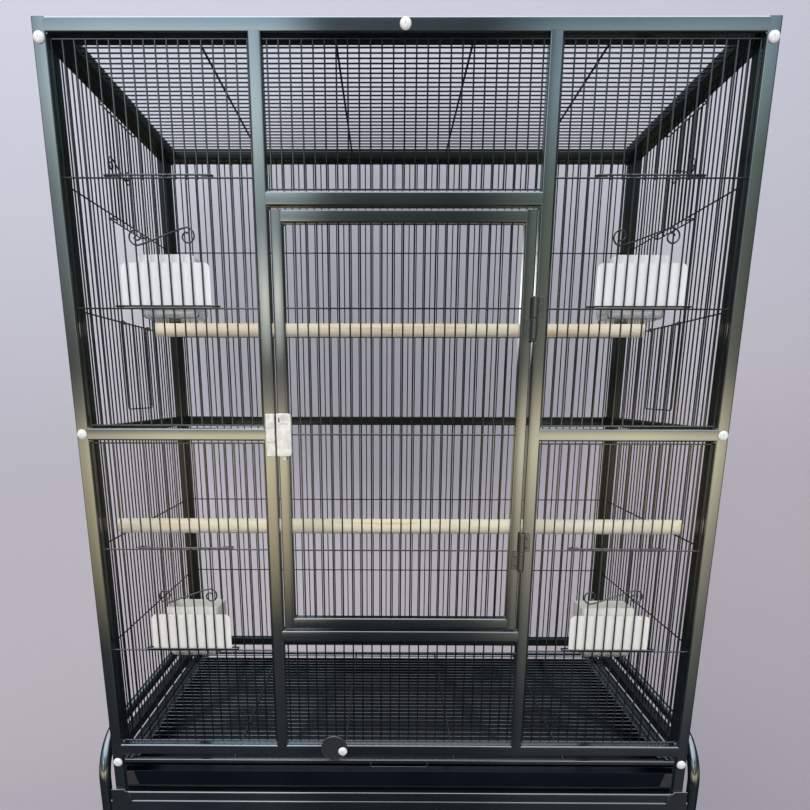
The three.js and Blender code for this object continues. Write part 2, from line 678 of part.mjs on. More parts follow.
// The grip is an S of wire that ends in a spiral at each side
function gripCurve() {
  const spiral = [];
  for (let n = 0; n <= GRIP_POINTS; n += 1) {
    const share = n / GRIP_POINTS;
    const angle = Math.PI / 2 - share * GRIP_TURN * 2 * Math.PI;
    const radius = GRIP_RADIUS * (1 - GRIP_TAPER * share);
    spiral.push(new THREE.Vector3(GRIP_HALF + radius * Math.cos(angle), 0, radius * Math.sin(angle)));
  }
  const turned = spiral.map((p) => new THREE.Vector3(-p.x, 0, -p.z)).reverse();
  const straight = [-1, 1].map((side) =>
    new THREE.Vector3(side * PITCH / 2, 0, side * GRIP_SLOPE * PITCH / 2));
  return new THREE.CatmullRomCurve3([...turned, ...straight, ...spiral]);
}

// Local frame: X along the panel, -Y outward, z = 0 at the bottom strand, y = 0 at the guide wires
function slidingDoor() {
  const y = -SLIDE_SETBACK;
  const parts = [];
  for (const z of [0, DOOR_RISE]) {
    parts.push(wireX(y, z, -LOOP_REACH - HALF_STRAND, LOOP_REACH + HALF_STRAND));
    for (const side of [-1, 1]) {
      const end = side * LOOP_REACH;
      parts.push(wireY(end, z, y - HALF_STRAND, LOOP_BACK + HALF_STRAND));
      parts.push(wireX(LOOP_BACK, z, side * (GUIDE - LOOP_RETURN), end + side * HALF_STRAND));
    }
  }
  for (const x of wirePlaces(2 * GUIDE, GUIDE_MARGIN)) {
    parts.push(wireZ(x, y, 0, DOOR_RISE));
  }
  const gripY = y - CROSS_SETBACK;
  parts.push(swept(gripCurve(), STRAND_REACH, 4, GRIP_STEPS).translate([0, gripY, GRIP_RISE]));
  for (const side of [-1, 1]) {
    parts.push(wireY(side * PITCH / 2, GRIP_RISE + side * GRIP_SLOPE * PITCH / 2, gripY, y, GRIP_WELD));
  }
  return join(parts);
}

function placeDoor(name, x, y, z, turn) {
  const mesh = add(name, slidingDoor(), 'wire');
  mesh.position.set(x, y, z);
  mesh.rotation.z = turn;
}

for (const [name, [middle, base]] of Object.entries(SECTIONS)) {
  placeDoor(`feeder_door_${name}`, middle + CUP_X, WIRE_Y, base + BAY + DOOR_REST_ABOVE_WIRE, 0);
}
const NEST_DOOR_Z = TOP_STRAND_LIMIT - DOOR_RISE; // shown raised
placeDoor('nest_door_left', -SIDE_WIRE_X, NEST_Y, NEST_DOOR_Z, -Math.PI / 2);
placeDoor('nest_door_right', SIDE_WIRE_X, NEST_Y, NEST_DOOR_Z, Math.PI / 2);

// ---------------------------------------------------------------- cups

// Local frame: y = 0 at the guide wires, z = 0 at the cross wire, the cup behind the wires
function cup() {
  const plateFront = -SLIDE_SETBACK + HALF_STRAND + RUN;
  const plateBack = plateFront + CUP_WALL;
  const bodyFront = HALF_STRAND + RUN;
  const bodyBack = bodyFront + CUP_DEPTH;
  const seat = HALF_STRAND + SEAT;
  const half = CUP_PLATE_WIDTH / 2;
  const top = seat + CUP_PLATE_HEIGHT;
  const outline = new THREE.Shape();
  outline.moveTo(-half, seat);
  outline.lineTo(half, seat);
  outline.lineTo(half, top - CUP_PLATE_CORNER);
  outline.quadraticCurveTo(half, top, half - CUP_PLATE_CORNER, top);
  outline.lineTo(-half + CUP_PLATE_CORNER, top);
  outline.quadraticCurveTo(-half, top, -half, top - CUP_PLATE_CORNER);
  outline.closePath();
  const profile = (inset, floor, rise) => {
    const front = bodyFront + inset;
    const back = bodyBack - inset;
    return polygon([
      [front, floor + CUP_FRONT_CORNER],
      [front + CUP_FRONT_CORNER, floor],
      [back - CUP_CORNER, floor],
      [back, floor + CUP_CORNER],
      [back, CUP_BACK_RISE + rise],
      [front, CUP_FRONT_RISE + rise],
    ]);
  };
  const width = CUP_WIDTH / 2;
  const outside = prismYZ(profile(0, -CUP_DROP, 0), -width, width);
  const hollow = profile(CUP_WALL, -CUP_DROP + CUP_WALL, CUP_WALL + OVERCUT);
  const inside = prismYZ(hollow, -width + CUP_WALL, width - CUP_WALL);
  const bridge = box(-width, width, plateFront, bodyFront + CUP_WALL / 2, seat, seat + 2 * CUP_WALL);
  return join([outside.subtract(inside), bridge, plateXZ(outline, plateFront, plateBack)]);
}

for (const [name, [middle, base]] of Object.entries(SECTIONS)) {
  const mesh = add(`cup_${name}`, cup(), 'plastic');
  mesh.position.set(middle + CUP_X, WIRE_Y, base + BAY);
}

// ---------------------------------------------------------------- nest holders

// A wire that hangs from the lower cross wire by two eyes
function nestBail(side) {
  const eyeX = side * (SIDE_WIRE_X + CROSS_SETBACK);
  const eyeZ = UPPER_BASE + BAY;
  const legX = eyeX + side * BAIL_EYE_RADIUS;
  const bottom = eyeZ - BAIL_DROP;
  const half = BAIL_PITCHES * PITCH;
  const parts = [wireY(legX, bottom, NEST_Y - half - HALF_STRAND, NEST_Y + half + HALF_STRAND)];
  for (const end of [-1, 1]) {
    const y = NEST_Y + end * half;
    parts.push(wireZ(legX, y, bottom, eyeZ));
    const sweep = 2 * Math.PI * BAIL_EYE_TURN;
    const turn = new THREE.EllipseCurve(0, 0, BAIL_EYE_RADIUS, BAIL_EYE_RADIUS, 0, sweep);
    const points = turn.getPoints(BAIL_EYE_STEPS).map((p) =>
      new THREE.Vector3(eyeX + side * p.x, y, eyeZ + p.y));
    parts.push(swept(new THREE.CatmullRomCurve3(points), STRAND_REACH, 4, BAIL_EYE_STEPS));
  }
  return join(parts);
}

add('nest_bail_left', nestBail(-1), 'wire');
add('nest_bail_right', nestBail(1), 'wire');

// ---------------------------------------------------------------- perches

function perch(wire, below) {
  const y = CAGE_DEPTH / 2 + SIDE_PLACES[wire];
  const z = CAGE_TOP - below;
  const end = SIDE_WIRE_X + CROSS_SETBACK - HALF_STRAND - SEAT;
  const radius = PERCH_DIAMETER / 2;
  const dowel = bar([-end, y, z], [end, y, z], radius, LARGE_SIDES);
  const slots = [-1, 1].map((side) => box(
    side * (SIDE_WIRE_X - HALF_STRAND - SEAT), side * (end + OVERCUT),
    y - PERCH_SLOT / 2, y + PERCH_SLOT / 2, z - radius - OVERCUT, z + radius + OVERCUT,
  ));
  return dowel.subtract(join(slots));
}

add('perch_upper', perch(UPPER_PERCH_WIRE, UPPER_PERCH_BELOW_TOP), 'wood');
add('perch_lower', perch(LOWER_PERCH_WIRE, LOWER_PERCH_BELOW_TOP), 'wood');

// ---------------------------------------------------------------- grate, tray, base and lock disc

function grate() {
  const half = FLOOR_HALF;
  const low = GRATE_BOTTOM;
  const wireLevel = low + GRATE_SIDE_BAR / 2;
  const parts = levelPanel(half, SEAT, FLOOR_BACK, GRATE_SIDE_BAR, low, wireLevel, 1);
  parts.push(box(-half, half, SEAT, SEAT + GRATE_SIDE_BAR, low, GRATE_TOP));
  return join(parts);
}

// A staple of wire on the grate's front bar
function grateHandle() {
  const z = GRATE_BOTTOM + GRATE_BAR / 2;
  const y = SEAT - HANDLE_REACH;
  const parts = [wireX(y, z, -HANDLE_HALF - HALF_STRAND, HANDLE_HALF + HALF_STRAND)];
  for (const x of [-HANDLE_HALF, HANDLE_HALF]) {
    parts.push(wireY(x, z, y, 0));
  }
  return join(parts);
}

function tray() {
  const half = FLOOR_HALF;
  const outer = box(-half, half, 0, FLOOR_BACK, TRAY_BOTTOM, TRAY_TOP);
  const inner = box(
    -half + TRAY_WALL, half - TRAY_WALL, TRAY_WALL, FLOOR_BACK - TRAY_WALL,
    TRAY_BOTTOM + TRAY_WALL, TRAY_TOP + OVERCUT,
  );
  const lip = box(-half, half, -SEAT, TRAY_LIP, TRAY_BOTTOM - TRAY_LIP, TRAY_BOTTOM + TRAY_WALL);
  return join([outer.subtract(inner), lip]);
}

function cornerPlate(side) {
  const outerX = POST_X + PLATE_WIDTH / 2;
  const innerX = POST_X - PLATE_WIDTH / 2;
  const top = BASE_TOP + (PLATE_HEIGHT - BASE_RAIL) / 2;
  const bottom = top - PLATE_HEIGHT;
  const outline = polygon([
    [innerX, bottom],
    [outerX, bottom],
    [outerX, top],
    [innerX + PLATE_CUT, top],
    [innerX, top - PLATE_CUT],
  ].map(([x, z]) => [side * x, z]));
  return plateXZ(outline, -SEAT - PLATE_THICKNESS, -SEAT);
}

function baseFrame() {
  const rail = INNER_HALF - SEAT;
  const parts = [
    box(-rail, rail, -SEAT, TUBE, POST_END, BASE_TOP),
    box(-rail, rail, CAGE_DEPTH - TUBE, CAGE_DEPTH, POST_END, BASE_TOP),
  ];
  const front = TRAY_LIP + SEAT;
  const back = CAGE_DEPTH - TUBE - SEAT;
  for (const side of [-1, 1]) {
    const wall = side * rail;
    const web = wall - side * RUNNER_THICKNESS;
    const sideFront = SIDE_FRONT + TUBE + SEAT;
    const sideBack = SIDE_BACK - TUBE - SEAT;
    parts.push(cornerPlate(side));
    parts.push(box(web, side * HALF_WIDTH, sideFront, sideBack, POST_END, BASE_TOP));
    parts.push(box(web, wall, front, back + SEAT + TUBE, POST_END, BASE_TOP));
    parts.push(box(web, wall, front, back, POST_END, BOTTOM_RAIL - SEAT));
    for (const top of [TRAY_BOTTOM - RUN, GRATE_BOTTOM - RUN]) {
      parts.push(box(wall - side * RUNNER_WIDTH, wall, front, back, top - RUNNER_THICKNESS, top));
    }
  }
  return join(parts);
}

function lockDisc() {
  const y = -SEAT;
  const turn = THREE.MathUtils.degToRad(DISC_REST_TURN);
  const x = DISC_PIVOT_X - DISC_OFFSET * Math.sin(turn);
  const z = DISC_PIVOT_Z - DISC_OFFSET * Math.cos(turn);
  const disc = bar([x, y - DISC_THICKNESS, z], [x, y, z], DISC_RADIUS, DISC_SIDES);
  return disc.subtract(boltHole(DISC_PIVOT_X, DISC_PIVOT_Z));
}

add('grate', grate(), 'coat');
add('grate_handle', grateHandle(), 'wire');
add('tray', tray(), 'tray');
add('base_frame', baseFrame(), 'coat');
add('lock_disc', lockDisc(), 'coat');
const discFace = -SEAT - DISC_THICKNESS;
add('lock_disc_bolt', bolt(DISC_PIVOT_X, DISC_PIVOT_Z, discFace, DISC_BOLT_LENGTH), 'bolt');

// ---------------------------------------------------------------- stand

// Two legs and the level run between them, bent from one tube
function hoop(side) {
  const x = side * LEG_X;
  const run = POST_END + HOOP_RISE;
  const corner = run - HOOP_BEND;
  const at = (y, z) => new THREE.Vector3(x, y, z);
  const bend = (centreY, from, to) => {
    const points = [];
    for (let n = 0; n <= HOOP_BEND_STEPS; n += 1) {
      const angle = from + (to - from) * n / HOOP_BEND_STEPS;
      points.push(at(centreY + HOOP_BEND * Math.cos(angle), corner + HOOP_BEND * Math.sin(angle)));
    }
    return points;
  };
  const path = [
    at(LEG_FRONT_Y, LEG_BOTTOM),
    ...bend(LEG_FRONT_Y + HOOP_BEND, Math.PI, Math.PI / 2),
    ...bend(LEG_BACK_Y - HOOP_BEND, Math.PI / 2, 0),
    at(LEG_BACK_Y, LEG_BOTTOM),
  ];
  return sweptTube(path, LEG_RADIUS, FINE_SIDES);
}

// A round section carried along points in a plane of constant X, mitred at each point
function sweptTube(path, radius, sides) {
  const positions = [];
  const index = [];
  path.forEach((point, n) => {
    const before = path[Math.max(n - 1, 0)];
    const after = path[Math.min(n + 1, path.length - 1)];
    const inward = point.clone().sub(before).normalize();
    const outward = after.clone().sub(point).normalize();
    const along = inward.clone().add(outward).normalize();
    const stretch = 1 / along.dot(n === 0 ? outward : inward);
    const across = new THREE.Vector3(1, 0, 0);
    const out = new THREE.Vector3().crossVectors(along, across);
    for (let k = 0; k < sides; k += 1) {
      const angle = 2 * Math.PI * k / sides;
      const p = point.clone()
        .addScaledVector(across, radius * Math.cos(angle))
        .addScaledVector(out, radius * stretch * Math.sin(angle));
      positions.push(p.x, p.y, p.z);
    }
  });
  const rings = path.length;
  for (let n = 0; n < rings - 1; n += 1) {
    for (let k = 0; k < sides; k += 1) {
      const a = n * sides + k;
      const b = n * sides + (k + 1) % sides;
      const c = a + sides;
      const d = b + sides;
      index.push(a, c, b, b, c, d);
    }
  }
  for (let k = 1; k < sides - 1; k += 1) {
    index.push(0, k, k + 1);
    const last = (rings - 1) * sides;
    index.push(last, last + k + 1, last + k);
  }
  const geometry = new THREE.BufferGeometry();
  geometry.setAttribute('position', new THREE.BufferAttribute(new Float32Array(positions), 3));
  geometry.setIndex(index);
  const solid = toSolid(geometry);
  if (solid.volume() > 0) return solid;
  geometry.setIndex(index.slice().reverse());
  return toSolid(geometry);
}

function stemSocket(x, y) {
  const top = LEG_BOTTOM + CASTOR_STEM_LENGTH + SEAT;
  return bar([x, y, LEG_BOTTOM - OVERCUT], [x, y, top], CASTOR_STEM_RADIUS + SEAT, FINE_SIDES);
}

function standHoop(side) {
  const sockets = [LEG_FRONT_Y, LEG_BACK_Y].map((y) => stemSocket(side * LEG_X, y));
  return hoop(side).subtract(join(sockets));
}

function standRail(y) {
  return box(-RAIL_HALF, RAIL_HALF, y, y + TUBE, STAND_RAIL_TOP - STAND_RAIL_HEIGHT, STAND_RAIL_TOP);
}

function shelf() {
  const low = SHELF_HEIGHT - SHELF_RIM;
  const outer = box(-RAIL_HALF, RAIL_HALF, 0, CAGE_DEPTH, low, SHELF_HEIGHT);
  const inner = box(
    -RAIL_HALF + SHELF_SHEET, RAIL_HALF - SHELF_SHEET, SHELF_SHEET, CAGE_DEPTH - SHELF_SHEET,
    low + SHELF_SHEET, SHELF_HEIGHT + OVERCUT,
  );
  return outer.subtract(inner);
}

add('stand_hoop_left', standHoop(-1), 'coat');
add('stand_hoop_right', standHoop(1), 'coat');
add('stand_rail_front', standRail(0), 'coat');
add('stand_rail_rear', standRail(CAGE_DEPTH - TUBE), 'coat');
add('stand_shelf', shelf(), 'coat');

// ---------------------------------------------------------------- castors

const CASTORS = {
  front_left: [-LEG_X, LEG_FRONT_Y, 1],
  front_right: [LEG_X, LEG_FRONT_Y, 1],
  rear_left: [-LEG_X, LEG_BACK_Y, -1],
  rear_right: [LEG_X, LEG_BACK_Y, -1],
};
const AXLE_RADIUS = WHEEL_BORE - SEAT;
const FORK_INNER = WHEEL_WIDTH / 2 + SEAT;
const FORK_OUTER = FORK_INNER + FORK_WALL;
const FORK_TOP = CASTOR_HEIGHT - SEAT;

function castorFork(x, y, trail) {
  const axleY = y + trail * CASTOR_TRAIL;
  const crown = WHEEL_RADIUS * 2 + WHEEL_CLEAR;
  const low = Math.min(y, axleY) - CHEEK_HALF;
  const high = Math.max(y, axleY) + CHEEK_HALF;
  const parts = [
    box(x - FORK_OUTER, x + FORK_OUTER, low, high, crown, crown + FORK_WALL),
    bar([x, y, crown], [x, y, FORK_TOP], LEG_RADIUS),
    bar([x, y, crown], [x, y, FORK_TOP + CASTOR_STEM_LENGTH], CASTOR_STEM_RADIUS, FINE_SIDES),
    bar([x - FORK_OUTER, axleY, WHEEL_RADIUS], [x + FORK_OUTER, axleY, WHEEL_RADIUS], AXLE_RADIUS,
      FINE_SIDES),
  ];
  const cheek = polygon([
    [axleY - CHEEK_HALF, WHEEL_RADIUS - CHEEK_HALF],
    [axleY + CHEEK_HALF, WHEEL_RADIUS - CHEEK_HALF],
    [high, crown + FORK_WALL],
    [low, crown + FORK_WALL],
  ]);
  parts.push(prismYZ(cheek, x - FORK_OUTER, x - FORK_INNER));
  parts.push(prismYZ(cheek, x + FORK_INNER, x + FORK_OUTER));
  return join(parts);
}

function castorWheel(x, y, trail) {
  const axleY = y + trail * CASTOR_TRAIL;
  const half = WHEEL_WIDTH / 2;
  const across = (reach, radius, sides) => bar(
    [x - reach, axleY, WHEEL_RADIUS], [x + reach, axleY, WHEEL_RADIUS], radius, sides,
  );
  return across(half, WHEEL_RADIUS, LARGE_SIDES).subtract(across(half + OVERCUT, WHEEL_BORE, FINE_SIDES));
}

for (const [name, [x, y, trail]] of Object.entries(CASTORS)) {
  add(`castor_fork_${name}`, castorFork(x, y, trail), 'coat');
  add(`castor_wheel_${name}`, castorWheel(x, y, trail), 'tyre');
}

export default cage;
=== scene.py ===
"""Looks of a canary breeding cage on its rolling stand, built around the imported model.

Sizes are millimetres in the cage's own frame: X to the right, Y = 0 at the front face, Z = 0 at the floor.
They become metres in the row frame when a piece is made.
"""

import math

import bmesh
import bpy
from mathutils import Matrix, Vector

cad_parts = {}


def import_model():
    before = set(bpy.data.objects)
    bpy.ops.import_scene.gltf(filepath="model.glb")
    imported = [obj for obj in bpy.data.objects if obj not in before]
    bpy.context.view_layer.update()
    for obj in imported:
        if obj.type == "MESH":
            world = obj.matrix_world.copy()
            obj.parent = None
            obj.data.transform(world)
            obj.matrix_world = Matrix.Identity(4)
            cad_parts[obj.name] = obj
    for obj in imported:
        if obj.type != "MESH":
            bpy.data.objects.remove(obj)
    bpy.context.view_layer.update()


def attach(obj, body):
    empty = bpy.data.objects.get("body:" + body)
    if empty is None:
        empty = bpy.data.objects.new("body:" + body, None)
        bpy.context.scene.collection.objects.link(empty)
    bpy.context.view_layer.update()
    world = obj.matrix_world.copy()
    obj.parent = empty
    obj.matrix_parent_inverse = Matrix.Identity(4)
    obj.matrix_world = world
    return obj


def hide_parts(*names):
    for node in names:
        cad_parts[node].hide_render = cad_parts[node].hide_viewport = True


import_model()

# ---------------------------------------------------------------- sizes

MM = 0.001
MIDDLE_Y = 211.457

CAGE_WIDTH, CAGE_DEPTH = 813, 432
TUBE = 15
TUBE_CORNER = 1.9
BAY = 141
PANEL_RISE = 3 * BAY
PITCH = 12.7
WIRE = 1.0  # radius
TIGHT_MARGIN, LOOSE_MARGIN = 1.6, 7.6
END_INSET = 3.5
SEAT = 0.3

HALF_WIDTH = CAGE_WIDTH / 2
INNER_HALF = HALF_WIDTH - TUBE
POST_X = HALF_WIDTH - TUBE / 2
WIRE_Y = TUBE / 2
POST_END = 635
BASE_TOP = 649
BOTTOM_RAIL = 709
LOWER_BASE = BOTTOM_RAIL + TUBE
MID_RAIL = LOWER_BASE + PANEL_RISE
UPPER_BASE = MID_RAIL + TUBE
TOP_RAIL = UPPER_BASE + PANEL_RISE
CAGE_TOP = TOP_RAIL + TUBE

UPRIGHT_INNER = 157.25
UPRIGHT_OUTER = UPRIGHT_INNER + TUBE
SECTION_X = (UPRIGHT_OUTER + INNER_HALF) / 2
TRANSOM = 156
LINTEL = TOP_RAIL - TRANSOM - TUBE
SILL = LOWER_BASE + TRANSOM

DOOR_TUBE = 14
DOOR_BOTTOM, DOOR_TOP = SILL + TUBE + 3.75, LINTEL - 3.75
DOOR_MIDDLE = (DOOR_BOTTOM + DOOR_TOP) / 2
DOOR_HALF = UPRIGHT_INNER - 2.5
DOOR_FRONT = (TUBE - DOOR_TUBE) / 2
DOOR_CROSS = 149

CROSS_SETBACK = 1.972
SLIDE_SETBACK = 4.194
LOOP_BACK = 2.222
GUIDE = 4.5 * PITCH
GUIDE_MARGIN = 0.75 * PITCH
LOOP_REACH = 62
SIDE_FRONT, SIDE_BACK = TUBE + SEAT, CAGE_DEPTH - TUBE - SEAT

GRATE_TOP = BOTTOM_RAIL - 8
GRATE_BOTTOM = GRATE_TOP - 9.5
TRAY_TOP = GRATE_BOTTOM - 8.5
TRAY_BOTTOM = TRAY_TOP - 23
FLOOR_HALF = INNER_HALF - 2.5
FLOOR_BACK = CAGE_DEPTH - TUBE - 2.5

LEG_X = HALF_WIDTH + 9 + 8
LEG_RADIUS = 8
HOOP_TOP = 721
LEG_BOTTOM = 66


def wire_places(clear, margin):
    """Evenly pitched wires about the middle of a clear width."""
    count = math.floor((clear - 2 * margin) / PITCH) + 1
    return [(n - (count - 1) / 2) * PITCH for n in range(count)]


def middle_gap(places):
    return places[(len(places) - 1) // 2] + PITCH / 2


SECTION_PLACES = wire_places(INNER_HALF - UPRIGHT_OUTER, TIGHT_MARGIN)
SIDE_PLACES = wire_places(SIDE_BACK - SIDE_FRONT - 2 * TUBE, LOOSE_MARGIN)
CUP_X = middle_gap(SECTION_PLACES)
NEST_Y = CAGE_DEPTH / 2 + middle_gap(SIDE_PLACES)

# ---------------------------------------------------------------- mesh code


def across(outline, axis, place):
    """A flat outline as points on a plane across an axis."""
    a, b = [n for n in range(3) if n != axis]
    points = []
    for u, v in outline:
        point = [0, 0, 0]
        point[axis], point[a], point[b] = place, u, v
        points.append(point)
    return points


def square_to(axis):
    """A direction square to an axis."""
    up = Vector((0, 0, 1)) if abs(axis.z) < 0.9 else Vector((1, 0, 0))
    return axis.cross(up).normalized()


class Shape:
    """Vertices and faces, in millimetres."""

    def __init__(self):
        self.verts = []
        self.faces = []

    def add(self, verts, faces):
        base = len(self.verts)
        self.verts += [Vector(v) for v in verts]
        self.faces += [tuple(base + i for i in f) for f in faces]
        return self

    def placed(self, move):
        self.verts = [Vector(move(v)) for v in self.verts]
        return self

    def rings(self, loops):
        """Skin over a stack of loops that have the same number of points, closed at both ends."""
        size, last = len(loops[0]), len(loops) - 1
        faces = []
        for i in range(last):
            for k in range(size):
                a, b = i * size + k, i * size + (k + 1) % size
                faces.append((a, b, b + size, a + size))
        faces.append(tuple(reversed(range(size))))
        faces.append(tuple(last * size + k for k in range(size)))
        return self.add([p for loop in loops for p in loop], faces)

    def sweep(self, path, radius, sides=8):
        """A round section along points."""
        points = [Vector(p) for p in path]
        along = []
        for i in range(len(points)):
            ahead = points[min(i + 1, len(points) - 1)] - points[max(i - 1, 0)]
            along.append(ahead.normalized())
        side = square_to(along[0])
        loops = []
        for i, point in enumerate(points):
            if i:
                side = along[i - 1].rotation_difference(along[i]) @ side
                side = (side - along[i] * side.dot(along[i])).normalized()
            other = along[i].cross(side)
            angles = [2 * math.pi * (k + 0.5) / sides for k in range(sides)]
            loops.append([point + radius * (math.cos(a) * side + math.sin(a) * other) for a in angles])
        return self.rings(loops)

    def wire_x(self, y, z, x0, x1, radius=WIRE):
        return self.sweep([(x0, y, z), (x1, y, z)], radius)

    def wire_y(self, x, z, y0, y1, radius=WIRE):
        return self.sweep([(x, y0, z), (x, y1, z)], radius)

    def wire_z(self, x, y, z0, z1, radius=WIRE):
        return self.sweep([(x, y, z0), (x, y, z1)], radius)

    def tube(self, x0, x1, y0, y1, z0, z1, corner=TUBE_CORNER, axis=None):
        """A square tube's outside, with rounded long edges."""
        low = [min(x0, x1), min(y0, y1), min(z0, z1)]
        high = [max(x0, x1), max(y0, y1), max(z0, z1)]
        if axis is None:
            axis = max(range(3), key=lambda n: high[n] - low[n])
        a, b = [n for n in range(3) if n != axis]
        outline = rounded(low[a], high[a], low[b], high[b], corner)
        return self.rings([across(outline, axis, place) for place in (low[axis], high[axis])])

    def lathe(self, profile, origin, axis, sides=24):
        """A profile of (radius, height) turned about an axis vector from an origin."""
        origin, axis = Vector(origin), Vector(axis).normalized()
        side = square_to(axis)
        other = axis.cross(side)
        angles = [2 * math.pi * k / sides for k in range(sides)]
        loops = []
        for radius, height in profile:
            centre, reach = origin + axis * height, max(radius, 0.001)
            loops.append([centre + reach * (math.cos(a) * side + math.sin(a) * other) for a in angles])
        return self.rings(loops)

    def prism(self, outline, axis, low, high, edge):
        """A flat outline thickened along an axis, with a small bevel round both faces."""
        middle = [sum(p[n] for p in outline) / len(outline) for n in (0, 1)]
        size = max(abs(p[0] - middle[0]) + abs(p[1] - middle[1]) for p in outline)
        inner = [tuple(m + (c - m) * (1 - 2 * edge / size) for c, m in zip(p, middle)) for p in outline]
        stops = [(low, inner), (low + edge, outline), (high - edge, outline), (high, inner)]
        return self.rings([across(points, axis, place) for place, points in stops])

    def block(self, x0, x1, y0, y1, z0, z1, bevel):
        """A box with all its edges rounded."""
        low = Vector((min(x0, x1), min(y0, y1), min(z0, z1)))
        high = Vector((max(x0, x1), max(y0, y1), max(z0, z1)))
        bm = bmesh.new()
        bmesh.ops.create_cube(bm, size=1)
        for v in bm.verts:
            v.co = Vector(((low + high)[n] / 2 + v.co[n] * (high - low)[n] for n in range(3)))
        bmesh.ops.bevel(bm, geom=bm.edges[:], offset=bevel, segments=2, affect="EDGES", profile=0.6)
        bm.verts.index_update()
        self.add([v.co.copy() for v in bm.verts], [[v.index for v in f.verts] for f in bm.faces])
        bm.free()
        return self


def rounded(u0, u1, v0, v1, radius, steps=3):
    """A rectangle's outline with rounded corners."""
    radius = min(radius, (u1 - u0) / 2, (v1 - v0) / 2)
    left, right, low, high = u0 + radius, u1 - radius, v0 + radius, v1 - radius
    points = []
    for quarter, (cu, cv) in enumerate(((right, high), (left, high), (left, low), (right, low))):
        for n in range(steps + 1):
            angle = (quarter + n / steps) * math.pi / 2
            points.append((cu + radius * math.cos(angle), cv + radius * math.sin(angle)))
    return points


def filleted(points, radius, steps=5):
    """A polyline with its corners rounded."""
    points = [Vector(p) for p in points]
    path = [points[0]]
    for before, corner, after in zip(points, points[1:], points[2:]):
        inward, outward = (before - corner).normalized(), (after - corner).normalized()
        half = inward.angle(outward) / 2
        reach = min(radius / math.tan(half), 0.49 * (before - corner).length, 0.49 * (after - corner).length)
        start, end = corner + inward * reach, corner + outward * reach
        for n in range(steps + 1):
            t = n / steps
            path.append(start * (1 - t) ** 2 + corner * 2 * t * (1 - t) + end * t ** 2)
    path.append(points[-1])
    return path


def to_mesh(name, shape):
    """The shape as a mesh, in metres and in the row's frame."""
    mesh = bpy.data.meshes.new(name)
    mesh.from_pydata([(v.x * MM, (v.y - MIDDLE_Y) * MM, v.z * MM) for v in shape.verts], [], shape.faces)
    return mesh


def piece(name, shape, material, body, nodes=(), sharp=38):
    """Makes the object, gives it its material and lets it ride on its body."""
    mesh = to_mesh(name, shape)
    bm = bmesh.new()
    bm.from_mesh(mesh)
    bmesh.ops.recalc_face_normals(bm, faces=bm.faces[:])
    bm.to_mesh(mesh)
    bm.free()
    mesh.shade_smooth()
    mesh.set_sharp_from_angle(angle=math.radians(sharp))
    mesh.materials.append(material)
    made = bpy.data.objects.new(name, mesh)
    bpy.context.scene.collection.objects.link(made)
    flat = made.modifiers.new("flat_faces", "WEIGHTED_NORMAL")
    flat.keep_sharp, flat.weight = True, 100
    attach(made, body)
    if nodes:
        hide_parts(*nodes)
    return made


# ---------------------------------------------------------------- materials


class Nodes:
    """Short ways to add nodes to a tree; an input takes a value or another node's socket."""

    def __init__(self, tree):
        self.tree = tree

    def put(self, value, socket):
        if isinstance(value, bpy.types.NodeSocket):
            self.tree.links.new(value, socket)
        else:
            socket.default_value = value

    def node(self, kind, inputs=(), **settings):
        made = self.tree.nodes.new(kind)
        for key, value in settings.items():
            setattr(made, key, value)
        for key, value in dict(inputs).items():
            self.put(value, made.inputs[key])
        return made

    def spread(self, source, low, high, to_low=0, to_high=1):
        """A value's range from low to high brought to another range."""
        limits = {"Value": source, "From Min": low, "From Max": high, "To Min": to_low, "To Max": to_high}
        return self.node("ShaderNodeMapRange", limits).outputs["Result"]

    def ramp(self, source, stops):
        made = self.node("ShaderNodeValToRGB", {"Fac": source})
        elements = made.color_ramp.elements
        while len(elements) < len(stops):
            elements.new(0.5)
        for element, (place, colour) in zip(elements, stops):
            element.position, element.color = place, (*colour, 1)
        return made.outputs["Color"]

    def mix(self, blend, factor, low, high):
        """Two colours mixed; the numbers are the node's colour sockets."""
        made = self.node("ShaderNodeMix", {0: factor, 6: low, 7: high}, data_type="RGBA", blend_type=blend)
        return made.outputs[2]

    def patch(self, vector, middle, reach):
        """1 at a middle in X and Z, falling to 0 at a reach from it."""
        place = {
            "Vector": vector,
            "Scale": (1 / reach[0], 0, 1 / reach[1]),
            "Location": (-middle[0] / reach[0], 0, -middle[1] / reach[1]),
        }
        source = {"Vector": self.node("ShaderNodeMapping", place).outputs["Vector"]}
        return self.node("ShaderNodeTexGradient", source, gradient_type="SPHERICAL").outputs["Fac"]


class Look(Nodes):
    """A Principled material."""

    def __init__(self, name, **values):
        self.material = bpy.data.materials.new(name)
        self.material.use_nodes = True
        super().__init__(self.material.node_tree)
        self.shader = self.tree.nodes["Principled BSDF"]
        for key, value in values.items():
            self.shader.inputs[key.replace("_", " ")].default_value = value
        self.place = self.node("ShaderNodeTexCoord").outputs["Object"]

    def noise(self, scale, detail=3.0, stretch=(1, 1, 1), roughness=0.5):
        mapping = self.node("ShaderNodeMapping", {"Scale": stretch, "Vector": self.place})
        inputs = {"Scale": scale, "Detail": detail, "Roughness": roughness}
        inputs["Vector"] = mapping.outputs["Vector"]
        return self.node("ShaderNodeTexNoise", inputs).outputs["Fac"]

    def colour(self, source, stops):
        self.put(self.ramp(source, stops), self.shader.inputs["Base Color"])

    def rough(self, source, low, high):
        self.put(self.spread(source, 0, 1, low, high), self.shader.inputs["Roughness"])

    def bump(self, source, strength, distance):
        made = self.node("ShaderNodeBump", {"Strength": strength, "Distance": distance, "Height": source})
        self.put(made.outputs["Normal"], self.shader.inputs["Normal"])


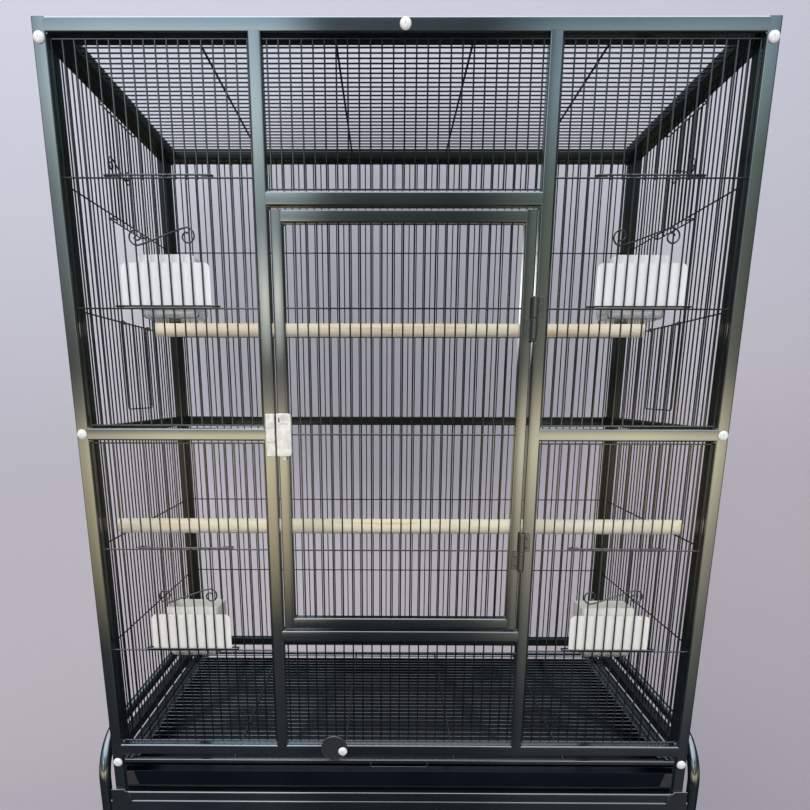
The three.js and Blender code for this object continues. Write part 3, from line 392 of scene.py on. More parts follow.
def make_coat(name, dark, light, rough, shine=1.0, peel=0.03):
    """Black paint under a clear gloss; `shine` is how much of the gloss there is."""
    look = Look(name, Specular_IOR_Level=0.8 * shine, Coat_Weight=shine, Coat_IOR=1.9, Coat_Roughness=0.07)
    look.colour(look.noise(9, 5), [(0.35, dark), (0.7, light)])
    look.rough(look.noise(34, 4), *rough)
    look.bump(look.noise(620, 2), peel, 0.0004)
    return look.material


COAT = make_coat("powder_coat", (0.008, 0.013, 0.015), (0.014, 0.020, 0.022), (0.10, 0.18))
# Painted shade: the front's coat with its gloss cut almost away, so the side, back and roof tubes stay dark
# as in shade.
SHADED_REAR_COAT = make_coat("powder_coat_rear_painted_shade", (0.010, 0.014, 0.014), (0.017, 0.022, 0.021), (0.16, 0.26), 0.08)
WIRE_COAT = make_coat("coated_wire", (0.004, 0.005, 0.006), (0.008, 0.010, 0.011), (0.16, 0.26), 0.4)
# Painted shade: the wire coat with its gloss cut down, so the side, back and roof nets stay dark as in shade.
SHADED_REAR_WIRE_COAT = make_coat("coated_wire_rear_painted_shade", (0.004, 0.005, 0.006), (0.008, 0.009, 0.010), (0.2, 0.3), 0.15)
TRAY_COAT = make_coat("tray_coat", (0.002, 0.004, 0.008), (0.004, 0.008, 0.013), (0.28, 0.42), 0.08)
DARK_STEEL = make_coat("dark_steel", (0.022, 0.024, 0.026), (0.036, 0.038, 0.040), (0.24, 0.36), 0.6)


def make_zinc():
    look = Look("zinc_plate", Metallic=0.35)
    look.colour(look.noise(120, 4), [(0.3, (0.60, 0.61, 0.60)), (0.7, (0.88, 0.88, 0.86))])
    look.rough(look.noise(300, 3, (1, 1, 0.15)), 0.24, 0.46)
    look.bump(look.noise(500, 2, (1, 1, 0.2)), 0.12, 0.0003)
    return look.material


def make_bolt():
    look = Look("bolt_plate", Metallic=0.1)
    look.colour(look.noise(200, 3), [(0.3, (0.78, 0.79, 0.78)), (0.75, (0.92, 0.92, 0.9))])
    look.rough(look.noise(260, 3), 0.2, 0.36)
    look.bump(look.noise(900, 2), 0.05, 0.0002)
    return look.material


def make_wood():
    look = Look("pale_wood", Specular_IOR_Level=0.35)
    grain = look.noise(90, 6, (0.06, 1, 1), 0.6)
    look.colour(grain, [(0.26, (0.76, 0.60, 0.38)), (0.42, (0.99, 0.88, 0.66)), (0.72, (1.0, 0.95, 0.79))])
    look.rough(look.noise(60, 4, (0.1, 1, 1)), 0.5, 0.72)
    look.bump(look.noise(260, 5, (0.05, 1, 1)), 0.25, 0.0004)
    return look.material


def make_plastic(name, tint, bottom, top):
    """Clear below a height and milky above it, painted light where the cup stands in the light; both heights
    in metres.
    """
    look = Look(name, IOR=1.46)
    look.colour(look.noise(22, 3), [(0.3, tuple(0.94 * c for c in tint)), (0.7, tint)])
    look.rough(look.noise(80, 3), 0.05, 0.14)
    height = look.node("ShaderNodeSeparateXYZ", {"Vector": look.place}).outputs["Z"]
    # Painted light: the cup turns milky and pale above the bridge wire, where it is lit.
    look.put(look.spread(height, bottom, top, 0.92, 0.2), look.shader.inputs["Transmission Weight"])
    look.bump(look.noise(60, 2), 0.08, 0.0008)
    return look.material


def make_tyre():
    look = Look("tyre_rubber", Specular_IOR_Level=0.3)
    look.colour(look.noise(50, 4), [(0.35, (0.018, 0.018, 0.019)), (0.7, (0.032, 0.032, 0.034))])
    look.rough(look.noise(120, 4), 0.55, 0.75)
    look.bump(look.noise(700, 3), 0.2, 0.0003)
    return look.material


ZINC, BOLT, WOOD, TYRE = make_zinc(), make_bolt(), make_wood(), make_tyre()
PLASTIC_TINTS = {"upper": (0.96, 0.985, 1.0), "lower": (1.0, 0.995, 0.94)}

# ---------------------------------------------------------------- front frame and its wires

SIDES = ((-1, "left"), (1, "right"))
LAP = 2  # how far a rail runs into the tube it is welded to
BEAD_RADIUS, BEAD_INSET, BEAD_STEPS = 1.5, 1.4, 6
BEAD_LEVELS = {
    INNER_HALF: (TOP_RAIL, MID_RAIL, BOTTOM_RAIL),
    UPRIGHT_INNER: (LINTEL, SILL),
    UPRIGHT_OUTER: (MID_RAIL,),
}
WIRE_END = 1.2  # how far a cut wire passes the wire that ends it


def front_frame():
    shape = Shape()
    for side in (-1, 1):
        shape.tube(side * INNER_HALF, side * HALF_WIDTH, 0, TUBE, POST_END, CAGE_TOP)
        shape.tube(side * UPRIGHT_INNER, side * UPRIGHT_OUTER, 0, TUBE, LOWER_BASE - LAP, TOP_RAIL + LAP)
        shape.tube(side * (UPRIGHT_OUTER - LAP), side * (INNER_HALF + LAP), 0, TUBE, MID_RAIL, UPPER_BASE)
    for half, levels in ((INNER_HALF, (TOP_RAIL, BOTTOM_RAIL)), (UPRIGHT_INNER, (LINTEL, SILL))):
        for level in levels:
            shape.tube(-half - LAP, half + LAP, 0, TUBE, level, level + TUBE)
    for side in (-1, 1):
        for x, levels in BEAD_LEVELS.items():
            for level in levels:
                for z in (level, level + TUBE):
                    bead(shape, (side * x, BEAD_INSET, z), (0, 1, 0), TUBE)
    piece("front_frame_tubes", shape, COAT, "cage", ["front_frame"])


def bead(shape, start, axis, tube):
    """A weld along a corner between two tubes of one size; none stands above the cage."""
    if start[2] >= CAGE_TOP:
        return
    start, axis = Vector(start), Vector(axis)
    length = tube - 2 * BEAD_INSET
    path = [start + axis * (length * n / BEAD_STEPS) for n in range(BEAD_STEPS + 1)]
    shape.sweep(path, BEAD_RADIUS, 6)


def cup_section(name, middle, base):
    shape = Shape()
    half = (INNER_HALF - UPRIGHT_OUTER) / 2 - SEAT
    low_end, high_end = base + END_INSET, base + PANEL_RISE - END_INSET
    low, high = base + BAY, base + 2 * BAY
    for y, levels in ((WIRE_Y, (low_end, high_end)), (WIRE_Y - CROSS_SETBACK, (low, high))):
        for z in levels:
            shape.wire_x(y, z, middle - half, middle + half)
    for place in SECTION_PLACES:
        x = middle + place
        if abs(place - CUP_X) < GUIDE - PITCH / 2:
            shape.wire_z(x, WIRE_Y, low_end, low + WIRE_END)
            shape.wire_z(x, WIRE_Y, high - WIRE_END, high_end)
        else:
            shape.wire_z(x, WIRE_Y, low_end, high_end)
    piece(f"front_net_{name}", shape, WIRE_COAT, "cage", [f"front_wires_{name}"])


def plain_section(name, base):
    shape = Shape()
    half = UPRIGHT_INNER - SEAT
    low_end, high_end = base + END_INSET, base + TRANSOM - END_INSET
    shape.wire_x(WIRE_Y, low_end, -half, half).wire_x(WIRE_Y, high_end, -half, half)
    for x in wire_places(2 * UPRIGHT_INNER, TIGHT_MARGIN):
        shape.wire_z(x, WIRE_Y, low_end, high_end)
    piece(f"front_net_{name}", shape, WIRE_COAT, "cage", [f"front_wires_{name}"])


SECTIONS = {
    "left_upper": (-SECTION_X, UPPER_BASE),
    "left_lower": (-SECTION_X, LOWER_BASE),
    "right_upper": (SECTION_X, UPPER_BASE),
    "right_lower": (SECTION_X, LOWER_BASE),
}
front_frame()
for name, (middle, base) in SECTIONS.items():
    cup_section(name, middle, base)
plain_section("top_centre", LINTEL + TUBE)
plain_section("bottom_centre", LOWER_BASE)

# ---------------------------------------------------------------- bolts

BOLT_RADIUS, BOLT_HEIGHT = 6.3, 3.0
SHANK_RADIUS, SHANK_LENGTH = 2.4, 8
RECESS_TURN, RECESS_REACH, RECESS_HALF, RECESS_DEPTH = 0.6, 2.7, 0.45, 0.5
BOLT_LEVELS = {"top": CAGE_TOP - 20, "middle": MID_RAIL + TUBE / 2, "foot": BOTTOM_RAIL - 12.5}
SCREW_PROFILE = [(0.5, -1), (5, -1), (5, 0.2), (4.6, 0.42), (1.6, 0.42), (1.2, -0.4), (0, -0.4)]


def bolt_head(shape, x, z, face):
    """A round head with a cross recess, its seat at `face`, standing out to the front."""
    r, h = BOLT_RADIUS, BOLT_HEIGHT
    profile = [
        (0.5, -SHANK_LENGTH), (SHANK_RADIUS, -SHANK_LENGTH), (SHANK_RADIUS, 0), (r, 0), (r, 0.35),
        (r * 0.95, 1.1), (r * 0.8, 2.0), (r * 0.55, 2.7), (r * 0.3, h), (0, h),
    ]
    shape.lathe(profile, (x, face, z), (0, -1, 0), 28)
    centre = Vector((x, face - (h + 0.03), z))
    for angle in (RECESS_TURN, RECESS_TURN + math.pi / 2):
        along = Vector((math.cos(angle), 0, math.sin(angle))) * RECESS_REACH
        wide = Vector((-math.sin(angle), 0, math.cos(angle))) * RECESS_HALF
        verts = [centre + along * s + wide * t for s, t in ((-1, -1), (1, -1), (1, 1), (-1, 1))]
        verts += [v + Vector((0, RECESS_DEPTH, 0)) for v in verts]
        sides = [(n, n + 4, (n + 1) % 4 + 4, (n + 1) % 4) for n in range(4)]
        shape.add(verts, [(0, 1, 2, 3), (7, 6, 5, 4), *sides])


def bolts():
    places = {}
    for level, z in BOLT_LEVELS.items():
        for side, word in SIDES:
            places[f"bolt_{level}_{word}"] = (side * POST_X, z)
    places["bolt_top_centre"] = (0, TOP_RAIL + TUBE / 2)
    for name, (x, z) in places.items():
        shape = Shape()
        bolt_head(shape, x, z, -SEAT)
        piece(f"{name}_head", shape, BOLT, "cage", [name])
    for side, word in SIDES:
        for level, z in BOLT_LEVELS.items():
            shape = Shape().lathe(SCREW_PROFILE, (side * POST_X, CAGE_DEPTH, z), (0, 1, 0))
            piece(f"back_screw_{level}_{word}", shape, BOLT, "cage")


bolts()

# ---------------------------------------------------------------- main door, hinges and latch


def main_door():
    back = DOOR_FRONT + DOOR_TUBE
    inner = DOOR_HALF - DOOR_TUBE
    shape = Shape()
    for side in (-1, 1):
        shape.tube(side * inner, side * DOOR_HALF, DOOR_FRONT, back, DOOR_BOTTOM, DOOR_TOP)
    for z in (DOOR_BOTTOM, DOOR_TOP - DOOR_TUBE):
        shape.tube(-inner - LAP, inner + LAP, DOOR_FRONT, back, z, z + DOOR_TUBE)
    for side in (-1, 1):
        for z in (DOOR_BOTTOM + DOOR_TUBE, DOOR_TOP - DOOR_TUBE):
            bead(shape, (side * inner, DOOR_FRONT + BEAD_INSET, z), (0, 1, 0), DOOR_TUBE)
    piece("door_tubes", shape, COAT, "main_door", ["main_door"])
    net = Shape()
    for x in wire_places(2 * inner, LOOSE_MARGIN):
        net.wire_z(x, WIRE_Y, DOOR_BOTTOM + DOOR_TUBE / 2, DOOR_TOP - DOOR_TUBE / 2)
    for step in (-1, 0, 1):
        net.wire_x(WIRE_Y - CROSS_SETBACK, DOOR_MIDDLE + step * DOOR_CROSS, -inner - 1, inner + 1)
    piece("door_net", net, WIRE_COAT, "main_door")


HINGE_X, HINGE_Y = UPRIGHT_INNER - 1.25, -4.3
HINGE_HALF, HINGE_GAP = 24, 0.15
BARREL_RADIUS, PIN_RADIUS = 4.0, 1.6
LEAF_WIDTH, LEAF_FACE, LEAF_CORNER = 11, -1.5, 1.6
RIVET, RIVET_X, RIVET_Z = [(0, 0), (2.1, 0), (1.9, 0.45), (0, 0.6)], 7.2, 6
UP = (0, 0, 1)


def leaf(shape, side, low, high, back):
    """A knuckle and its flat leaf, to one side of the pin, with two rivets."""
    r = BARREL_RADIUS
    knuckle = [(1.4, low), (r - 0.5, low), (r, low + 0.5), (r, high - 0.5), (r - 0.5, high), (1.4, high)]
    shape.lathe(knuckle, (HINGE_X, HINGE_Y, 0), UP)
    edges = sorted((HINGE_X, HINGE_X + side * LEAF_WIDTH))
    shape.prism(rounded(*edges, low, high, LEAF_CORNER), 1, LEAF_FACE, back, 0.2)
    for z in (low + RIVET_Z, high - RIVET_Z):
        shape.lathe(RIVET, (HINGE_X + side * RIVET_X, LEAF_FACE, z), (0, -1, 0), 16)


def hinge(name, middle):
    high = middle + HINGE_HALF
    shape = Shape()
    leaf(shape, 1, middle + HINGE_GAP, high, -SEAT)
    end = middle - HINGE_HALF - SEAT
    pin = [(0, end - 3), (2.6, end - 3), (3.4, end - 2.2), (3.4, end - 0.4)]
    pin += [(PIN_RADIUS, end), (PIN_RADIUS, high)]
    shape.lathe(pin, (HINGE_X, HINGE_Y, 0), UP)
    shape.lathe([(0, high), (2.6, high), (2.2, high), (0, high)], (HINGE_X, HINGE_Y, 0), UP)
    piece(f"hinge_{name}_fixed_leaf", shape, DARK_STEEL, "cage", [f"hinge_{name}_frame_leaf"])
    shape = Shape()
    leaf(shape, -1, middle - HINGE_HALF, middle - HINGE_GAP, DOOR_FRONT - SEAT)
    piece(f"hinge_{name}_swinging_leaf", shape, DARK_STEEL, "main_door", [f"hinge_{name}_door_leaf"])


LATCH_LOW, LATCH_HIGH = DOOR_MIDDLE - 26, DOOR_MIDDLE + 26
LATCH_FACE = -7.8
LATCH_LEFT = -DOOR_HALF - SEAT
LATCH_RIGHT = LATCH_LEFT + 18
KEEPER_RIGHT = -UPRIGHT_INNER - SEAT
KEEPER_LEFT = KEEPER_RIGHT - 10.5
TONGUE_Y, TONGUE_THICK, TONGUE_HALF = LATCH_FACE + 3.75, 1.2, 6
SLOT_FRONT, SLOT_BACK = TONGUE_Y - TONGUE_THICK - 0.2, TONGUE_Y + TONGUE_THICK + 0.2
SLOT_LOW, SLOT_HIGH = DOOR_MIDDLE - TONGUE_HALF - 0.4, DOOR_MIDDLE + TONGUE_HALF + 0.4
TAIL_LEFT, TAIL_RIGHT = LATCH_LEFT + 7, LATCH_LEFT + 11


def latch():
    """A keeper and a body with a slot through both for the tongue, and the tongue with its tail."""
    shape = Shape()
    third = (LATCH_HIGH - LATCH_LOW) / 3
    for n, sunk in enumerate((0.0, 0.35, 0.0)):
        low = LATCH_LOW + n * third
        for front, back in ((LATCH_FACE + sunk, SLOT_FRONT), (SLOT_BACK, -SEAT)):
            shape.block(KEEPER_LEFT, KEEPER_RIGHT, front, back, low + 0.12, low + third - 0.12, 0.4)
    middle = (SLOT_FRONT - 0.2, SLOT_BACK + 0.2)
    for low, high in ((LATCH_LOW + 0.8, SLOT_LOW), (SLOT_HIGH, LATCH_HIGH - 0.8)):
        shape.block(KEEPER_LEFT + 0.6, KEEPER_RIGHT - 0.6, *middle, low, high, 0.1)
    piece("latch_keeper_shell", shape, ZINC, "cage", ["latch_keeper"])

    shape = Shape()
    sides = (LATCH_LEFT, LATCH_RIGHT, LATCH_LOW, LATCH_HIGH)
    body = [(u, v) for u, v in rounded(*sides, 4.2, 5) if u > LATCH_RIGHT - 5]
    body += [(u, v) for u, v in rounded(*sides, 1.2, 2) if u < LATCH_LEFT + 2]
    body.sort(key=lambda p: math.atan2(p[1] - DOOR_MIDDLE, p[0] - (LATCH_LEFT + LATCH_RIGHT) / 2))
    shape.prism(body, 1, LATCH_FACE, SLOT_FRONT, 0.5)
    shape.prism(body, 1, SLOT_BACK, DOOR_FRONT - SEAT, 0.3)
    for left, right, low, high in (
        (LATCH_LEFT + 1, LATCH_RIGHT - 1.4, SLOT_HIGH, LATCH_HIGH - 1.2),
        (TAIL_RIGHT + 0.4, LATCH_RIGHT - 1.4, LATCH_LOW + 1.2, SLOT_LOW),
        (LATCH_RIGHT - 1.5, LATCH_RIGHT - 0.7, LATCH_LOW + 5, LATCH_HIGH - 5),
    ):
        shape.block(left, right, *middle, low, high, 0.1)
    for left, right, rise, low, high, bevel in (
        (LATCH_LEFT + 2.4, LATCH_RIGHT - 4.4, 0.12, LATCH_LOW + 6, LATCH_HIGH - 14.5, 0.3),
        (LATCH_LEFT + 9.5, LATCH_RIGHT - 3.2, 0.2, LATCH_LOW + 9, LATCH_LOW + 16, 0.25),
    ):
        shape.block(left, right, LATCH_FACE - rise, LATCH_FACE + 1, low, high, bevel)
    piece("latch_body_shell", shape, ZINC, "main_door", ["latch_body"])

    # Painted shade: thin dark pieces on the latch face where its slot and groove are, dark for the shade in
    # them.
    slot_shade_marks = Shape()
    for left, right, rise, low, high, bevel in (
        (LATCH_LEFT + 2.6, LATCH_LEFT + 4.4, 0.04, LATCH_HIGH - 10.5, LATCH_HIGH - 5, 0.02),
        (LATCH_LEFT + 4.4, LATCH_RIGHT - 3.5, 0.03, LATCH_HIGH - 12.6, LATCH_HIGH - 12.1, 0.01),
    ):
        slot_shade_marks.block(left, right, LATCH_FACE - rise, LATCH_FACE + 0.9, low, high, bevel)
    piece("latch_slot_shade", slot_shade_marks, DARK_STEEL, "main_door")

    shape = Shape()
    thick = (TONGUE_Y - TONGUE_THICK, TONGUE_Y + TONGUE_THICK)
    low, high = DOOR_MIDDLE - TONGUE_HALF, DOOR_MIDDLE + TONGUE_HALF
    shape.block(LATCH_LEFT + SEAT, LATCH_RIGHT - 1.85, *thick, low, high, 0.4)
    shape.block(TAIL_LEFT, TAIL_RIGHT, *thick, LATCH_LOW - 5, DOOR_MIDDLE, 0.7)
    piece("latch_bolt_bar", shape, ZINC, "latch_bolt", ["latch_bolt"])


main_door()
hinge("upper", DOOR_MIDDLE + 137.5)
hinge("lower", DOOR_MIDDLE - 148.5)
latch()

# ---------------------------------------------------------------- sides, back and roof
NET_SINK = 4  # how far the wires run into their tubes
ROD_RADIUS, ROD_RISE, ROD_PITCH = 1.35, 2.286, 157
def side_panel(side, word):
    near, far = side * INNER_HALF, side * HALF_WIDTH
    front, back = SIDE_FRONT + TUBE, SIDE_BACK - TUBE
    shape = Shape()
    for y in (SIDE_FRONT, back):
        shape.tube(near, far, y, y + TUBE, POST_END, CAGE_TOP)
    for level in (BOTTOM_RAIL, MID_RAIL, TOP_RAIL):
        shape.tube(near, far, front - LAP, back + LAP, level, level + TUBE)
        for y in (front, back):
            for z in (level, level + TUBE):
                bead(shape, (near + side * BEAD_INSET, y, z), (side, 0, 0), TUBE)
    piece(f"side_tubes_{word}", shape, SHADED_REAR_COAT, "cage", [f"side_panel_{word}"])
    net = Shape()
    x = side * POST_X
    for base in (LOWER_BASE, UPPER_BASE):
        low, high = base - NET_SINK, base + PANEL_RISE + NET_SINK
        for cross in (base + BAY, base + 2 * BAY):
            net.wire_y(x + side * CROSS_SETBACK, cross, front - NET_SINK, back + NET_SINK)
        for place in SIDE_PLACES:
            y = CAGE_DEPTH / 2 + place
            if base == UPPER_BASE and abs(y - NEST_Y) < GUIDE - PITCH / 2:
                net.wire_z(x, y, low, base + BAY + WIRE_END)
                net.wire_z(x, y, base + 2 * BAY - WIRE_END, high)
            else:
                net.wire_z(x, y, low, high)
    piece(f"side_net_{word}", net, SHADED_REAR_WIRE_COAT, "cage")


def back_panel():
    front = CAGE_DEPTH - TUBE
    shape = Shape()
    for side in (-1, 1):
        shape.tube(side * INNER_HALF, side * HALF_WIDTH, front, CAGE_DEPTH, POST_END, CAGE_TOP)
    for level in (BOTTOM_RAIL, MID_RAIL, TOP_RAIL):
        shape.tube(-INNER_HALF - LAP, INNER_HALF + LAP, front, CAGE_DEPTH, level, level + TUBE)
        for side in (-1, 1):
            for z in (level, level + TUBE):
                bead(shape, (side * INNER_HALF, front + BEAD_INSET, z), (0, 1, 0), TUBE)
    piece("back_tubes", shape, SHADED_REAR_COAT, "cage", ["back_panel"])
    net = Shape()
    y, reach = CAGE_DEPTH - TUBE / 2, INNER_HALF + NET_SINK
    for base in (LOWER_BASE, UPPER_BASE):
        for cross in (base + BAY, base + 2 * BAY):
            net.wire_x(y + CROSS_SETBACK, cross, -reach, reach)
        for x in wire_places(2 * INNER_HALF, TIGHT_MARGIN):
            net.wire_z(x, y, base - NET_SINK, base + PANEL_RISE + NET_SINK)
    piece("back_net", net, SHADED_REAR_WIRE_COAT, "cage")


def level_net(half, front, back, tube, z):
    """Wires across a level frame and the rods from front to back on them."""
    net = Shape()
    sink = 3
    reach = half - tube + sink
    for place in wire_places(back - front - 2 * tube, LOOSE_MARGIN):
        net.wire_x((front + back) / 2 + place, z, -reach, reach)
    for step in (-1.5, -0.5, 0.5, 1.5):
        net.wire_y(step * ROD_PITCH, z + ROD_RISE, front + tube - sink, back - tube + sink, ROD_RADIUS)
    return net


def level_frame(half, front, back, tube, low, corner):
    shape = Shape()
    for y in (front, back - tube):
        shape.tube(-half, half, y, y + tube, low, low + tube, corner)
    for side in (-1, 1):
        ends = (front + tube - 1, back - tube + 1)
        shape.tube(side * (half - tube), side * half, *ends, low, low + tube, corner)
    return shape


for side, word in SIDES:
    side_panel(side, word)
back_panel()
ROOF = (INNER_HALF - SEAT, SIDE_FRONT, SIDE_BACK, TUBE)
piece("roof_tubes", level_frame(*ROOF, TOP_RAIL, TUBE_CORNER), SHADED_REAR_COAT, "cage", ["roof_panel"])
piece("roof_net", level_net(*ROOF, TOP_RAIL + TUBE / 2), SHADED_REAR_WIRE_COAT, "cage")

# ---------------------------------------------------------------- guillotine doors

GRIP_RISE, GRIP_HALF, GRIP_RADIUS = 76, 29.7, 9.6
GRIP_TURNS, GRIP_POINTS, GRIP_SLOPE, BAR_POINTS = 1.2, 40, 20, 12
DOOR_LIFT = 2.6


def grip_path():
    """A lying S: a spiral at each end and a bent bar between them."""
    spiral = []
    for n in range(GRIP_POINTS + 1):
        share = n / GRIP_POINTS
        angle = math.pi / 2 - share * GRIP_TURNS * 2 * math.pi
        radius = GRIP_RADIUS * (1 - 0.7 * share)
        spiral.append((GRIP_HALF + radius * math.cos(angle), 0, radius * math.sin(angle)))
    turned = [(-x, y, -z) for x, y, z in reversed(spiral)]
    start, end, slope = Vector(turned[-1]), Vector(spiral[0]), Vector((GRIP_SLOPE, 0, 0))
    middle = []
    for n in range(1, BAR_POINTS):
        t = n / BAR_POINTS
        h00, h10 = 2 * t ** 3 - 3 * t ** 2 + 1, t ** 3 - 2 * t ** 2 + t
        h01, h11 = -2 * t ** 3 + 3 * t ** 2, t ** 3 - t ** 2
        middle.append(start * h00 + slope * h10 + end * h01 + slope * h11)
    return [*turned, *middle, *spiral]


def sliding_door(move):
    """Wires between two flat loops that hook round the fixed wires, and the S on them."""
    shape = Shape()
    y, hook = -SLIDE_SETBACK, GUIDE - 9
    flat = [(hook, LOOP_BACK), (LOOP_REACH, LOOP_BACK), (LOOP_REACH, y)]
    flat = [(-u, v) for u, v in flat] + flat[::-1]
    for z in (0, BAY):
        shape.sweep(filleted([(u, v, z) for u, v in flat], 2.4), WIRE)
    for x in wire_places(2 * GUIDE, GUIDE_MARGIN):
        shape.wire_z(x, y, 0, BAY)
    grip_y = y - CROSS_SETBACK
    shape.sweep([(x, grip_y, z + GRIP_RISE) for x, _, z in grip_path()], WIRE)
    return shape.placed(move)


def doors():
    for name, (middle, base) in SECTIONS.items():
        low = base + BAY + DOOR_LIFT
        shape = sliding_door(lambda v: (v.x + middle + CUP_X, v.y + WIRE_Y, v.z + low))
        piece(f"feeder_gate_{name}", shape, WIRE_COAT, f"feeder_door_{name}", [f"feeder_door_{name}"])
    low = TOP_RAIL - END_INSET - DOOR_LIFT - BAY
    for side, word in SIDES:
        shape = sliding_door(lambda v: (side * (POST_X - v.y), NEST_Y + side * v.x, v.z + low))
        piece(f"nest_gate_{word}", shape, WIRE_COAT, f"nest_door_{word}", [f"nest_door_{word}"])


doors()

# ---------------------------------------------------------------- cups

CUP_WALL, CUP_LIP = 1.8, 0.5
CUP_HALF = 35.5
CUP_FRONT, CUP_BACK = 1.336, 53.336
CUP_FLOOR, CUP_FRONT_RISE, CUP_BACK_RISE = -10.5, 61, 55
CUP_CORNER, CUP_DROOP, CUP_DROOP_WIDTH = 6.5, 3.2, 9
PLATE_FRONT, PLATE_BACK = -2.858, -1.058
PLATE_LOW, PLATE_HIGH, PLATE_HALF, PLATE_CORNER = 1.186, 51.186, 53, 7


def cup_shell():
    """The open box of the cup as nested rings, outside and inside, with rounded corners."""

    def ring(inset, lower, z):
        wide = CUP_HALF - inset - lower
        front, back = CUP_FRONT + inset + lower / 2, CUP_BACK - inset - lower
        return [(x, y, z) for x, y in rounded(-wide, wide, front, back, CUP_CORNER - inset, 5)]

    def edge(inset, drop):
        points = []
        for x, y, _ in ring(inset, 0, 0):
            slope = (y - CUP_FRONT) / (CUP_BACK - CUP_FRONT)
            corner = max(abs(x) - CUP_HALF + CUP_DROOP_WIDTH, 0) / CUP_DROOP_WIDTH
            rise = CUP_FRONT_RISE + (CUP_BACK_RISE - CUP_FRONT_RISE) * slope
            points.append((x, y, rise - CUP_DROOP * corner ** 2 * (1 - slope) - drop))
        return points

    levels = [(2.4, 3, CUP_FLOOR), (0.7, 2.6, CUP_FLOOR + 0.8), (0, 2, CUP_FLOOR + 2.6)]
    levels += [(0, 0.6, CUP_FLOOR + 6.5), (0, 0, 0), (0, 0, 20)]
    outside = [ring(*level) for level in levels]
    rim = [edge(0, CUP_LIP), edge(CUP_LIP, 0), edge(CUP_WALL - CUP_LIP, 0), edge(CUP_WALL, CUP_LIP)]
    inside = []
    for inset, lower, z in reversed(levels):
        inside.append(ring(inset + CUP_WALL, lower, z + (CUP_WALL if z < 0 else 0)))
    return Shape().rings([*outside, *rim, *inside])


def cup_plate():
    shape = Shape()
    corners = []
    for n in range(7):
        angle = n / 6 * math.pi / 2
        turn = (PLATE_CORNER * math.cos(angle), PLATE_CORNER * math.sin(angle))
        corners.append((PLATE_HALF - PLATE_CORNER + turn[0], PLATE_HIGH - PLATE_CORNER + turn[1]))
    outline = [(-PLATE_HALF, PLATE_LOW), (PLATE_HALF, PLATE_LOW), *corners]
    outline += [(-x, z) for x, z in reversed(corners)]
    shape.prism(outline, 1, PLATE_FRONT, PLATE_BACK, 0.3)
    shape.block(-CUP_HALF, CUP_HALF, PLATE_BACK, CUP_FRONT + 0.9, PLATE_LOW, PLATE_LOW + 3.6, 0.5)
    for x in (-CUP_HALF, CUP_HALF):
        inner = x - math.copysign(CUP_WALL, x)
        shape.block(x, inner, PLATE_BACK, CUP_FRONT + 4, PLATE_LOW, PLATE_HIGH - 8, 0.4)
    return shape


def cups():
    for level, tint in PLASTIC_TINTS.items():
        for side in ("left", "right"):
            name = f"{side}_{level}"
            middle, base = SECTIONS[name]
            bridge = base + BAY
            plastic = make_plastic(f"clear_plastic_{name}", tint, (bridge - 6) * MM, (bridge + 2) * MM)
            shape = cup_shell()
            plate = cup_plate()
            shape.add(plate.verts, plate.faces)
            shape.placed(lambda v: (v.x + middle + CUP_X, v.y + WIRE_Y, v.z + bridge))
            piece(f"cup_clear_{name}", shape, plastic, f"cup_{name}", [f"cup_{name}"])


cups()

# ---------------------------------------------------------------- nest holders, perches


EYE_RADIUS, EYE_TURNS, BAIL_DROP, BAIL_HALF = 2.6, 0.8, 122, 4 * PITCH
PERCH_HALF, PERCH_RADIUS, PERCH_SLOT = 399.786, 10.5, 1.3


def nest_bail(side, word):
    """A U of wire that hangs by an eye at each end from a cross wire."""
    eye_x, eye_z = side * (POST_X + CROSS_SETBACK), UPPER_BASE + BAY
    leg_x, bottom = eye_x + side * EYE_RADIUS, eye_z - BAIL_DROP
    near, far = NEST_Y - BAIL_HALF, NEST_Y + BAIL_HALF

    def eye(y):
        points = []
        for n in range(17):
            angle = n / 16 * 2 * EYE_TURNS * math.pi
            out, rise = EYE_RADIUS * math.cos(angle), EYE_RADIUS * math.sin(angle)
            points.append((eye_x + side * out, y, eye_z + rise))
        return points

    legs = [(leg_x, near, eye_z - 2), (leg_x, near, bottom), (leg_x, far, bottom), (leg_x, far, eye_z - 2)]
    path = [*reversed(eye(near)), *filleted(legs, 5), *eye(far)]
    shape = Shape().sweep(path, WIRE * 0.93)
    piece(f"nest_wire_{word}", shape, WIRE_COAT, f"nest_bail_{word}", [f"nest_bail_{word}"])


